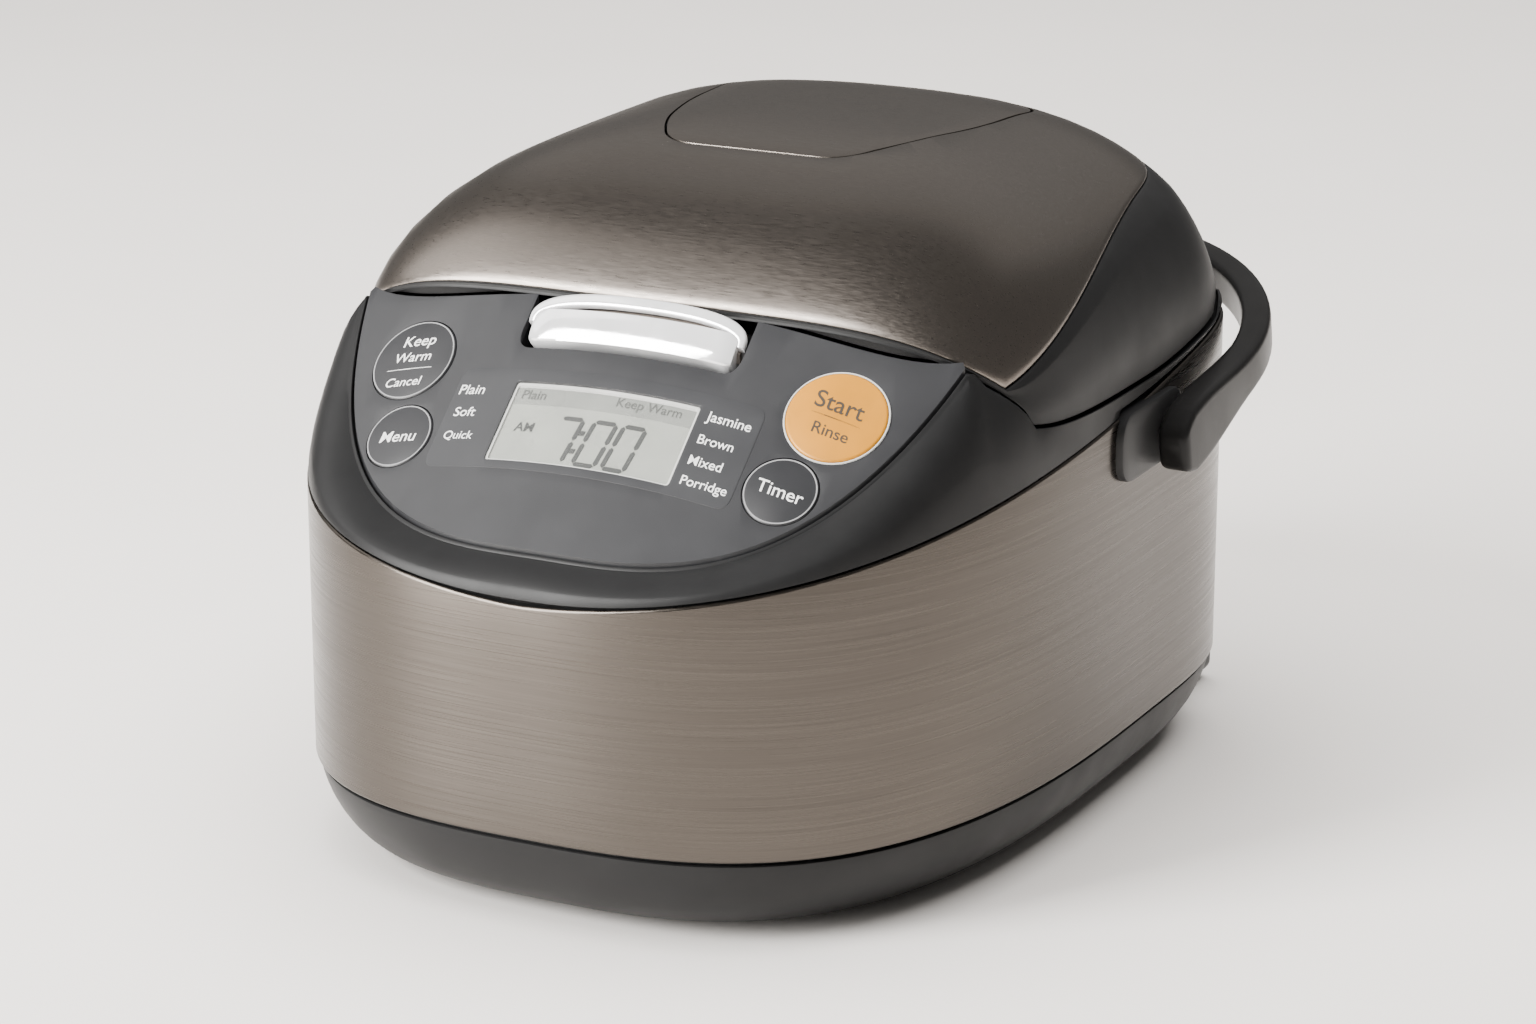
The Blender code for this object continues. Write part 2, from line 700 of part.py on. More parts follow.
def build_lid(finish):
    shares = [0.15, 0.45, 0.7, 0.86, 0.96]
    seat = [0.15, 0.45, 0.7, 0.86, 0.94, 1.0]

    outer = [lid_ring(share, SKIN_SEAT, skin_share) for share in seat[:-1] + [0.995, 1.0]]
    band = [lid_ring(1.0, 0.25, skin_share)]
    for share in (0.4, 0.8):
        ring = []
        for angle in lid_angles():
            top, edge = skin_share(angle), lid_edge(angle)[0]
            ring.append(dome_point(angle, top + (edge - top) * share, 0.05))
        band.append(ring)
    band.append(lid_drop_ring(0, lambda edge: edge))
    under = [lid_drop_ring(LID_WALL + 1.3, lambda edge: edge)]
    under += [lid_ring(share, LID_WALL + SKIN_SEAT) for share in reversed(shares)]
    rings = outer + band + under
    shell = add_object("lid_shell", loft_mesh("lid_shell", rings), finish["charcoal"])
    notch = cutter("hinge_notch", rounded_box("notch", (0, 111, 172.5), (76, 40, 47), 0))
    opening = cutter("cap_opening", cap_prism("opening", -0.5, 205, 250))
    cut(shell, notch, opening)

    skin_rings = [lid_ring(share, 0, skin_share) for share in seat[:-1] + [0.995]]
    skin_rings += [lid_ring(0.995, SKIN_THICKNESS, skin_share)]
    skin_rings += [lid_ring(share, SKIN_THICKNESS, skin_share) for share in reversed(seat[:-1])]
    skin = add_object("lid_skin", loft_mesh("lid_skin", skin_rings), finish["steel"])
    cut(skin, opening)

    cap = add_object("steam_cap", cap_prism("steam_cap", 0.4, 205, 250), finish["steel"], (0, 16, 225))
    levels = (0.1, 0.3, 0.5, 0.8)
    sheet = [lid_ring(share, 0) for share in levels] + [lid_ring(share, 5.0) for share in levels[::-1]]
    cut(cap, cutter("cap_sheet", loft_mesh("sheet", sheet)), operation="INTERSECT")


def build_lid_works(finish):
    """Everything under the dome: liner, heater, inner lid, seal, steam tube, hinge arms and catch."""
    floor = LINER_FLOOR
    wall = 2.4
    hole = 95.0

    def hole_ring(radius, height):
        ring = []
        for angle in lid_angles():
            shift = (DOME_CENTRE_Y - WELL_Y) * math.sin(angle)
            reach = -shift + math.sqrt(shift * shift - (DOME_CENTRE_Y - WELL_Y) ** 2 + radius * radius)
            ring.append((reach * math.cos(angle), DOME_CENTRE_Y + reach * math.sin(angle), height))
        return ring

    rings = [lid_drop_ring(5.4, floor), lid_drop_ring(6.2, lambda edge: max(floor + 6, edge - 6.5)),
             lid_drop_ring(6.2 + wall, lambda edge: max(floor + 6, edge - 6.5)),
             lid_drop_ring(5.8 + wall, floor + wall), hole_ring(hole, floor + wall), hole_ring(hole, floor)]
    liner = add_object("lid_liner", loft_mesh("lid_liner", rings, closed=True), finish["dark_plastic"])
    cut(liner, cutter("liner_notch", rounded_box("notch", (0, 117, 165), (76, 36, 30), 0)))
    catch_mesh = rounded_box("lid_catch", (0, -112.9, 161.8), (16, 4.0, 6.0), 0.4, 1)
    add_object("lid_catch", catch_mesh, finish["bright_steel"])

    plate = [(0.8, floor + 0.4), (hole - 0.6, floor + 0.4), (hole - 0.6, floor + 2.0), (0.8, floor + 2.0)]
    heater = turned_mesh("lid_heater_plate", plate, 0, WELL_Y, 36)
    add_object("lid_heater_plate", heater, finish["aluminium"])
    inner = [(0.8, 151.4), (60, 151.2), (88, 149.4), (95.2, 150.2), (97.2, 154.2),
             (94.6, 154.2), (87.5, 150.9), (0.8, 153.0)]
    add_object("inner_lid", turned_mesh("inner_lid", inner, 0, WELL_Y, 36), finish["aluminium"])
    seal = [(97.6, 155.7), (97.6, 153.4), (101.8, 152.9), (105.4, 152.6), (105.4, 153.4), (101.0, 155.7)]
    seal_mesh = turned_mesh("lid_seal", seal, 0, WELL_Y, 36, closed=True)
    add_object("lid_seal", seal_mesh, finish["seal"])
    tube = [(16, 160.6), (24, 160.6), (24, 222), (26, 222), (26, 159), (16, 159)]
    add_object("steam_trap", turned_mesh("steam_trap", tube, 0, 16, 28, closed=True), finish["dark_plastic"])

    arms = add_object("lid_hinge_arms", rounded_box("arms", (0, 100.5, 189), (74, 12, 11), 1.0),
                      finish["bright_steel"], (0, HINGE_Y, HINGE_Z))
    cheeks = [cutter("hinge_cheek_%s" % side, rounded_box("cheek", (sign * 34, 104.5, 186), (6, 17, 14), 0.8))
              for side, sign in (("left", -1), ("right", 1))]
    cut(arms, *cheeks, operation="UNION")
    room = cutter("knuckle_room", rod_x("room", -30.9, 30.9, HINGE_Y, HINGE_Z, 9.6, 24))
    bore = cutter("hinge_arm_bore", rod_x("bore", -50, 50, HINGE_Y, HINGE_Z, 2.9, 16))
    cut(arms, room, bore)


def build_hinge(finish):
    """Post that stands on the collar behind the well, with the pin and spring in its head."""
    post = add_object("hinge_post", rounded_box("post", (0, 107, 166), (60, 11, 30.4), 0.8),
                      finish["charcoal"], (0, HINGE_Y, HINGE_Z))
    head = cutter("hinge_head", rod_x("head", -30, 30, HINGE_Y, HINGE_Z, 8.2, 24))
    bore = cutter("hinge_bore", rod_x("bore", -50, 50, HINGE_Y, HINGE_Z, 2.9, 16))
    spring_room = cutter("spring_room", rod_x("room", -14, 14, HINGE_Y, HINGE_Z, 6.6, 20))
    cut(post, head, operation="UNION")
    cut(post, bore, spring_room)
    add_object("hinge_pin", rod_x("hinge_pin", -37.4, 37.4, HINGE_Y, HINGE_Z, 2.5), finish["bright_steel"])
    spring = coil_mesh("hinge_spring", (-12, HINGE_Y, HINGE_Z), (1, 0, 0), 4.6, 0.9, 6, 24, 8, 5)
    add_object("hinge_spring", spring, finish["bright_steel"])


# ---------------------------------------------------------------- cooking well

def build_well(finish):
    pot = [(0.8, POT_BOTTOM), (POT_RADIUS - 22, POT_BOTTOM), (POT_RADIUS - 9, POT_BOTTOM + 4),
           (POT_RADIUS - 2, POT_BOTTOM + 14), (POT_RADIUS, POT_BOTTOM + 30), (POT_RADIUS, LEDGE_HEIGHT + 0.3),
           (POT_RIM_RADIUS, LEDGE_HEIGHT + 0.3), (POT_RIM_RADIUS, LEDGE_HEIGHT + 1.7),
           (POT_RADIUS - POT_WALL, LEDGE_HEIGHT + 1.7), (POT_RADIUS - POT_WALL, POT_BOTTOM + 31),
           (POT_RADIUS - 4, POT_BOTTOM + 15), (POT_RADIUS - 10.5, POT_BOTTOM + 6),
           (POT_RADIUS - 22.5, POT_BOTTOM + 2.2), (0.8, POT_BOTTOM + 2.2)]
    add_object("inner_pot", turned_mesh("inner_pot", pot, 0, WELL_Y, 36), finish["pot"])
    case = [(13, 42.5), (84, 42.5), (97, 49), (103.6, 66), (103.6, 139), (105.6, 139), (105.6, 65.5),
            (99, 47.5), (85, 40.5), (13, 40.5)]
    add_object("inner_case", turned_mesh("inner_case", case, 0, WELL_Y, 36, closed=True), finish["dark_plastic"])
    heater = [(106.0, 92), (107.4, 92), (107.4, 126), (106.0, 126)]
    add_object("side_heater", turned_mesh("side_heater", heater, 0, WELL_Y, 36, closed=True), finish["aluminium"])
    coil = [(22, 39.6), (70, 39.6), (70, 36.4), (22, 36.4)]
    add_object("induction_coil", turned_mesh("induction_coil", coil, 0, WELL_Y, 32, closed=True),
               finish["copper"])
    holder = add_object("ferrite_holder", turned_mesh("ferrite_holder", [(18, 35.9), (72, 35.9), (72, 33.9),
                        (18, 33.9)], 0, WELL_Y, 28, closed=True), finish["dark_plastic"])
    for number in range(3):
        bar = rounded_box("bar", (0, 0, 0), (150, 9, 5), 0)
        for vertex in bar.vertices:
            turn = math.pi * number / 3
            x, y = vertex.co.x, vertex.co.y - BODY_OFFSET_Y * MM
            vertex.co = (x * math.cos(turn) - y * math.sin(turn), x * math.sin(turn) + y * math.cos(turn),
                         vertex.co.z + 33.4 * MM)
            vertex.co.y += (BODY_OFFSET_Y + WELL_Y) * MM
        cut(holder, cutter("ferrite_bar_%d" % (number + 1), bar), operation="UNION")
    centre = cutter("sensor_room", turned_mesh("room", [(14, 20), (14, 45)], 0, WELL_Y, 28))
    cut(holder, centre)
    sensor = [(10.2, 47.6), (10.2, 43.2), (11.6, 42.8), (11.6, 41), (8.5, 41), (8.5, 34), (0.8, 34)]
    sensor_mesh = turned_mesh("centre_sensor", list(reversed(sensor)), 0, WELL_Y, 28)
    add_object("centre_sensor", sensor_mesh, finish["aluminium"], (0, WELL_Y, 45))
    spring = coil_mesh("sensor_spring", (0, WELL_Y, 9), (0, 0, 1), 5.0, 0.7, 4, 20, 8, 5)
    add_object("sensor_spring", spring, finish["bright_steel"])


# ---------------------------------------------------------------- power electronics

FAN_X, FAN_Y, FAN_Z = 0.0, -138.0, 19.0


def build_electronics(finish):
    """Power board, heat sink and fan in the nose of the body, ahead of the cooking well."""
    add_object("power_board", rounded_box("power_board", (0, -156, 44), (150, 44, 1.6), 0), finish["board"])
    sink = add_object("heat_sink", rounded_box("heat_sink", (0, -155, 47.7), (50, 34, 5), 0),
                      finish["aluminium"])
    for number in range(7):
        fin = rounded_box("fin", (number * 7.3 - 21.9, -155, 58), (2, 34, 18), 0)
        cut(sink, cutter("fin_%d" % (number + 1), fin), operation="UNION")
    frame = add_object("fan_housing", rounded_box("fan_housing", (FAN_X, FAN_Y, FAN_Z), (60, 60, 15), 2),
                       finish["dark_plastic"])
    duct = turned_mesh("duct", [(27.6, 0), (27.6, 40)], FAN_X, FAN_Y, 32)
    hub = turned_mesh("hub", [(9, FAN_Z - 7.4), (9, FAN_Z - 4.4)], FAN_X, FAN_Y, 20)
    cut(frame, cutter("fan_duct", duct))
    spokes = [cutter("fan_spoke_%d" % (number + 1),
                     rounded_box("spoke", (FAN_X, FAN_Y, FAN_Z - 5.9), ((58, 3, 2.6) if number else (3, 58, 2.6)), 0))
              for number in range(2)]
    cut(frame, cutter("fan_hub", hub), *spokes, operation="UNION")
    rotor = add_object("fan_rotor", turned_mesh("fan_rotor", [(9.5, FAN_Z - 3.6), (9.5, FAN_Z + 6)],
                       FAN_X, FAN_Y, 24), finish["dark_plastic"], (FAN_X, FAN_Y, FAN_Z))
    for number in range(7):
        turn = 2 * math.pi * number / 7
        cut(rotor, cutter("fan_blade_%d" % (number + 1), fan_blade(turn)), operation="UNION")


def fan_blade(turn):
    """One pitched blade from the hub outwards."""
    rings = []
    for radius in (8.0, 26.4):
        ring = []
        for along, lift in ((-5, -2.6), (5, 4.6), (5, 5.6), (-5, -1.6)):
            swing = turn + along / max(radius, 12)
            ring.append((FAN_X + radius * math.cos(swing), FAN_Y + radius * math.sin(swing), FAN_Z + lift))
        rings.append(ring)
    return loft_mesh("blade", rings)


# ---------------------------------------------------------------- handle

def handle_section(side):
    """Centre line of the bail as (x, reach along the arm, half height), from one pivot to the other."""
    straight = HANDLE_REACH - HANDLE_CORNER
    line = [(HANDLE_X, -9.5, 8.0), (HANDLE_X, -6, 11.0), (HANDLE_X, 0, 12.0), (HANDLE_X, 12, 11.4),
            (HANDLE_X, straight * 0.55, 9.6), (HANDLE_X, straight, 8.2)]
    for step in range(1, 9):
        turn = math.radians(90 * step / 8)
        line.append((HANDLE_X - HANDLE_CORNER * (1 - math.cos(turn)), straight + HANDLE_CORNER * math.sin(turn), 7.5))
    line.append(((HANDLE_X - HANDLE_CORNER) * 0.5, HANDLE_REACH + 1.6, 7.5))
    line.append((0, HANDLE_REACH + 2.2, 7.5))
    return [(x * side, reach, half) for x, reach, half in line]


def build_handle(finish):
    right = handle_section(1)
    left = [(-x, reach, half) for x, reach, half in right[:-1]]
    line = right + left[::-1]
    forward = Vector((0, math.cos(HANDLE_PITCH), math.sin(HANDLE_PITCH)))
    upward = Vector((0, -math.sin(HANDLE_PITCH), math.cos(HANDLE_PITCH)))
    pivot = Vector((0, HANDLE_Y, HANDLE_Z))
    half_width, chamfer = 5.6, 2.6
    rings = []
    for index, (x, reach, half) in enumerate(line):
        before, after = line[max(index - 1, 0)], line[min(index + 1, len(line) - 1)]
        run = Vector((after[0] - before[0], after[1] - before[1])).normalized()
        out = Vector((run.y, -run.x))
        section = [(-half_width, chamfer - half), (chamfer - half_width, -half), (half_width - chamfer, -half),
                   (half_width, chamfer - half), (half_width, half - chamfer), (half_width - chamfer, half),
                   (chamfer - half_width, half), (-half_width, half - chamfer)]
        ring = []
        for across, lift in section:
            centre = Vector((x + out.x * across, 0, 0)) + forward * (reach + out.y * across) + upward * lift
            ring.append(tuple(pivot + centre))
        rings.append(ring)
    handle = add_object("handle", loft_mesh("handle", rings), finish["charcoal"], (0, HANDLE_Y, HANDLE_Z), 50)
    bore = cutter("handle_bore", rod_x("bore", -160, 160, HANDLE_Y, HANDLE_Z, 4.0, 20))
    cut(handle, bore)
    for side, sign in (("left", -1), ("right", 1)):
        boss = add_object("pivot_boss_" + side,
                          rounded_box("boss", (sign * 137.0, -2, 134.5), (2.6, 54, 25), 0.9), finish["charcoal"])
        inner, outer = sorted((sign * 136.2, sign * 149.6))
        pin_mesh = rod_x("pin", inner, outer, HANDLE_Y, HANDLE_Z, 3.6, 20)
        cut(boss, cutter("pivot_stem_" + side, pin_mesh), operation="UNION")


# ---------------------------------------------------------------- assembly

def main():
    for old in list(bpy.data.objects):
        bpy.data.objects.remove(old, do_unlink=True)
    finish = {
        "charcoal": make_material("charcoal_plastic", (0.045, 0.045, 0.047), 0.42, 0),
        "dark_plastic": make_material("dark_plastic", (0.03, 0.03, 0.032), 0.6, 0),
        "steel": make_material("brushed_steel", (0.36, 0.32, 0.29), 0.34, 1),
        "chrome": make_material("chrome", (0.8, 0.8, 0.8), 0.1, 1),
        "panel": make_material("slate_panel", (0.07, 0.075, 0.085), 0.4, 0),
        "gold": make_material("gold_button", (0.75, 0.52, 0.12), 0.35, 0.6),
        "window": make_material("window", (0.6, 0.64, 0.6), 0.1, 0),
        "lcd": make_material("lcd", (0.55, 0.6, 0.54), 0.4, 0),
        "rubber": make_material("rubber", (0.02, 0.02, 0.02), 0.8, 0),
        "seal": make_material("silicone", (0.7, 0.7, 0.68), 0.6, 0),
        "bright_steel": make_material("bright_steel", (0.6, 0.6, 0.6), 0.3, 1),
        "aluminium": make_material("aluminium", (0.7, 0.7, 0.7), 0.35, 1),
        "pot": make_material("pot_coating", (0.06, 0.06, 0.06), 0.45, 0.3),
        "copper": make_material("copper", (0.7, 0.35, 0.2), 0.35, 1),
        "board": make_material("circuit_board", (0.04, 0.2, 0.1), 0.5, 0),
    }
    build_base(finish)
    build_feet(finish)
    build_base_screws(finish)
    build_cord_outlet(finish)
    build_wrap(finish)
    collar = build_collar(finish)
    build_panel(finish, collar)
    build_latch(finish, collar)
    build_lid(finish)
    build_lid_works(finish)
    build_hinge(finish)
    build_well(finish)
    build_electronics(finish)
    build_handle(finish)


main()
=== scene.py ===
"""Looks of the rice cooker: fine shells, printed panel, finishes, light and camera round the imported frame.

Shapes are worked out in millimetres about the body's own centre line, +X to the right, -Y to the
front. place() turns them into the frame's metres. The same few curves drive every shell: the body's
plan outline, the steel's top edge, the lid's seam and dome, and the sloping panel's surface.
"""
import math

import bmesh
import bpy
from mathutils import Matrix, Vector


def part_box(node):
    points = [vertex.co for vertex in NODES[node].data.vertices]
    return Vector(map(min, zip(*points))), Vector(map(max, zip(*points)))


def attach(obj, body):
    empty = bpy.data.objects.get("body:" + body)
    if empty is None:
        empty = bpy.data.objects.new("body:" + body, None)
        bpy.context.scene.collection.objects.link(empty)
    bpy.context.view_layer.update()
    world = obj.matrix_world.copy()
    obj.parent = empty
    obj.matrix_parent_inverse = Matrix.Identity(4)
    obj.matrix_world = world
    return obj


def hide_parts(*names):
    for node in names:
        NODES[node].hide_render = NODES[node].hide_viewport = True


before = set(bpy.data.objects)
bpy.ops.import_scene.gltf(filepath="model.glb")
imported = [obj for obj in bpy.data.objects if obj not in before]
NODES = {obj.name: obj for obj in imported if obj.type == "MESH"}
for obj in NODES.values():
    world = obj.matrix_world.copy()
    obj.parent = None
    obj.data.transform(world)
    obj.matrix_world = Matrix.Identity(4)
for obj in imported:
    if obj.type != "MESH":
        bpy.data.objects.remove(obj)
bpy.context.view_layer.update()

MM = 0.001
GAP = 0.3
FINE = 256

# The body's plan comes from the frame's steel wrap; the ratio of its two halves is the design's.
WRAP_LOW, WRAP_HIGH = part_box("steel_wrap")
BODY_HALF_WIDTH = (WRAP_HIGH[0] - WRAP_LOW[0]) / 2 / MM
BODY_LENGTH = (WRAP_HIGH[1] - WRAP_LOW[1]) / MM
BODY_BACK = BODY_LENGTH * 122.6 / 329.1
BODY_FRONT = BODY_LENGTH - BODY_BACK
BODY_OFFSET_Y = WRAP_HIGH[1] / MM - BODY_BACK
NOSE_POWER = 2.89
BACK_POWER = 3.98

BASE_UNDERSIDE = 2.6
BASE_TOP = 30.6
STEEL_BOTTOM = 31.5
LEDGE_HEIGHT = 150.5

DOME_CENTRE_Y = 42.8
DOME_HALF_WIDTH = 134.1
DOME_FRONT = 168.1
DOME_BACK = 78.3
DOME_BASE = 157.5
DOME_RISE = 74.6
DOME_FRONT_POWER = 5.6
DOME_BACK_POWER = 2.53
DOME_PLAN_POWER = 3.08
DOME_RISE_POWER = 2.03
LID_FRONT = 158.3
LID_FRONT_POWER = 6.3
LID_SOFTNESS = 3.0
LID_GAP = 1.4

PANEL_HALF_WIDTH = 125.0
PANEL_FRONT = 193.0
PANEL_POWER = 2.75
PANEL_REFERENCE_Y = -131.7
PANEL_REFERENCE_Z = 178.2
PANEL_SLOPE = 0.89
PANEL_CROWN_RADIUS = 325.0
PANEL_TILT = math.atan(PANEL_SLOPE)

WELL_Y = -7.0
WELL_RADIUS = 104.0
HANDLE_Y = 4.0
HANDLE_Z = 132.5
HANDLE_PITCH = math.radians(12.3)
HANDLE_REACH = 145.5
HANDLE_X = 144.5
HANDLE_CORNER = 92.0

# The lid's front edge hangs this far below the panel's surface, ahead of this line.
LIP_BACK_Y = -98.0
LIP_DROP = 0.9

# The lid's edge falls away this steeply where it runs past the dome's base at the front.
LID_FRONT_SLOPE = 430
COLLAR_TURN = math.radians(62)
COLLAR_SKIRT_DROP = 12
PANEL_SEAT = 3.7
STEEL_ROLL = 1.1
KEY_PLAY = 0.25
KEY_SOCKET_GAP = 1.0
KEY_SOCKET_BOTTOM = -6.5
KEY_SOCKET_TOP = -1.0


def place(x, y, z):
    """Millimetres about the body's centre line to metres in the frame."""
    return Vector((x, y + BODY_OFFSET_Y, z)) * MM


# ---------------------------------------------------------------- camera, floor and light

def build_camera():
    data = bpy.data.cameras.new("camera")
    data.lens = 99.9
    data.sensor_width = 36
    data.clip_end = 20
    camera = bpy.data.objects.new("camera", data)
    camera.location = (0.65808, -1.29461, 0.53740)
    aim = Vector((-0.43412, 0.85212, -0.29229))
    camera.rotation_euler = aim.to_track_quat("-Z", "Y").to_euler()
    bpy.context.collection.objects.link(camera)
    bpy.context.scene.camera = camera


def area_light(name, spot, target, size, power, colour=(1, 1, 1)):
    data = bpy.data.lights.new(name, "AREA")
    data.shape = "RECTANGLE"
    data.size, data.size_y = size
    data.energy = power
    data.color = colour
    light = bpy.data.objects.new(name, data)
    light.location = spot
    light.rotation_euler = (Vector(target) - Vector(spot)).to_track_quat("-Z", "Y").to_euler()
    bpy.context.collection.objects.link(light)
    return light


def build_light():
    """Soft overhead fill, a key panel on the left, a tall panel on the front left and a dim surround."""
    fill = area_light("fill_light", (0.1, 0.2, 2.5), (0.1, 0.2, 0), (3.0, 3.0), 190, (1, 0.985, 0.965))
    fill.visible_glossy = False
    area_light("key_light", (-1.75, -0.25, 1.7), (0, 0, 0.15), (1.0, 1.6), 11, (1, 0.985, 0.96))
    area_light("front_left_light", (-1.15, -1.65, 1.0), (0, 0, 0.3), (0.8, 1.9), 170, (1, 0.99, 0.97))
    area_light("back_light", (-0.5, 2.2, 2.0), (0, 0, 0.2), (3.4, 1.8), 6, (1, 0.98, 0.96))
    world = bpy.data.worlds.new("studio")
    world.use_nodes = True
    surround = world.node_tree.nodes["Background"]
    surround.inputs["Color"].default_value = (0.93, 0.91, 0.89, 1)
    surround.inputs["Strength"].default_value = 0.22
    bpy.context.scene.world = world


# ---------------------------------------------------------------- materials

class Finish:
    """A Principled material with helpers for object-space noise."""

    def __init__(self, name, colour, roughness, metallic=0.0, **constants):
        self.material = bpy.data.materials.new(name)
        self.material.use_nodes = True
        self.tree = self.material.node_tree
        self.shader = self.tree.nodes["Principled BSDF"]
        self.colour = colour
        self.set("Base Color", (*colour, 1))
        self.set("Roughness", roughness)
        self.set("Metallic", metallic)
        for socket, value in constants.items():
            self.set(socket.replace("_", " ").title().replace("Ior", "IOR"), value)

    def set(self, socket, value):
        self.shader.inputs[socket].default_value = value

    def node(self, kind, **values):
        node = self.tree.nodes.new(kind)
        for key, value in values.items():
            setattr(node, key, value)
        return node

    def link(self, source, target):
        self.tree.links.new(source, target)

    def noise(self, stretch, detail=2.0, distortion=0.0):
        """Noise in object space; stretch is features per metre along X, Y and Z."""
        place_node = self.node("ShaderNodeTexCoord")
        mapping = self.node("ShaderNodeMapping")
        mapping.inputs["Scale"].default_value = stretch
        noise = self.node("ShaderNodeTexNoise")
        noise.inputs["Scale"].default_value = 1.0
        noise.inputs["Detail"].default_value = detail
        noise.inputs["Distortion"].default_value = distortion
        self.link(place_node.outputs["Object"], mapping.inputs["Vector"])
        self.link(mapping.outputs["Vector"], noise.inputs["Vector"])
        return noise.outputs["Fac"]

    def spread(self, value, low, high, start=0.3, end=0.7):
        """Remap noise from start..end to low..high."""
        remap = self.node("ShaderNodeMapRange")
        remap.inputs["From Min"].default_value = start
        remap.inputs["From Max"].default_value = end
        remap.inputs["To Min"].default_value = low
        remap.inputs["To Max"].default_value = high
        self.link(value, remap.inputs["Value"])
        return remap.outputs["Result"]

    def tint(self, value, dark, light):
        """Base colour between two shades, driven by noise."""
        mix = self.node("ShaderNodeMix", data_type="RGBA")
        mix.inputs[6].default_value = (*(part * dark for part in self.colour), 1)
        mix.inputs[7].default_value = (*(min(1.0, part * light) for part in self.colour), 1)
        self.link(self.spread(value, 0, 1), mix.inputs[0])
        self.link(mix.outputs[2], self.shader.inputs["Base Color"])

    def rough(self, value, low, high):
        self.link(self.spread(value, low, high), self.shader.inputs["Roughness"])

    def bump(self, value, height, strength=1.0):
        bump = self.node("ShaderNodeBump")
        bump.inputs["Strength"].default_value = strength
        bump.inputs["Distance"].default_value = height * MM
        self.link(value, bump.inputs["Height"])
        self.link(bump.outputs["Normal"], self.shader.inputs["Normal"])


def moulded(name, colour, roughness, grain=2600, depth=0.02, **constants):
    """Moulded plastic: fine spark texture, faint mottling of colour and gloss."""
    finish = Finish(name, colour, roughness, **constants)
    fine = finish.noise((grain, grain, grain), 1.0)
    finish.tint(finish.noise((70, 70, 70), 3.0), 0.92, 1.08)
    finish.rough(finish.noise((45, 45, 45), 3.0), roughness - 0.04, roughness + 0.04)
    finish.bump(fine, depth)
    return finish.material


def brushed(name, colour, roughness, stretch, depth, anisotropy):
    """Brushed steel: streaks along the wall, shown in colour, gloss and relief."""
    finish = Finish(name, colour, roughness, 1.0, anisotropic=anisotropy)
    streaks = finish.noise(stretch, 2.5)
    finish.tint(streaks, 0.93, 1.07)
    finish.rough(finish.noise(tuple(part * 0.6 for part in stretch), 2.0), roughness - 0.06, roughness + 0.06)
    finish.bump(streaks, depth)
    if anisotropy:
        finish.set("Anisotropic Rotation", 0.25)
        tangent = finish.node("ShaderNodeTangent", direction_type="RADIAL", axis="Z")
        finish.link(tangent.outputs["Tangent"], finish.shader.inputs["Tangent"])
    return finish.material


def sheet_metal(name, colour, roughness, grain=900, metallic=1.0):
    """Plain bright metal with fine handling marks."""
    finish = Finish(name, colour, roughness, metallic)
    finish.tint(finish.noise((grain / 6, grain / 6, grain / 6), 2.0), 0.92, 1.06)
    finish.rough(finish.noise((grain, grain, grain / 3), 2.0), roughness - 0.05, roughness + 0.06)
    finish.bump(finish.noise((grain, grain, grain), 2.0), 0.008)
    return finish.material


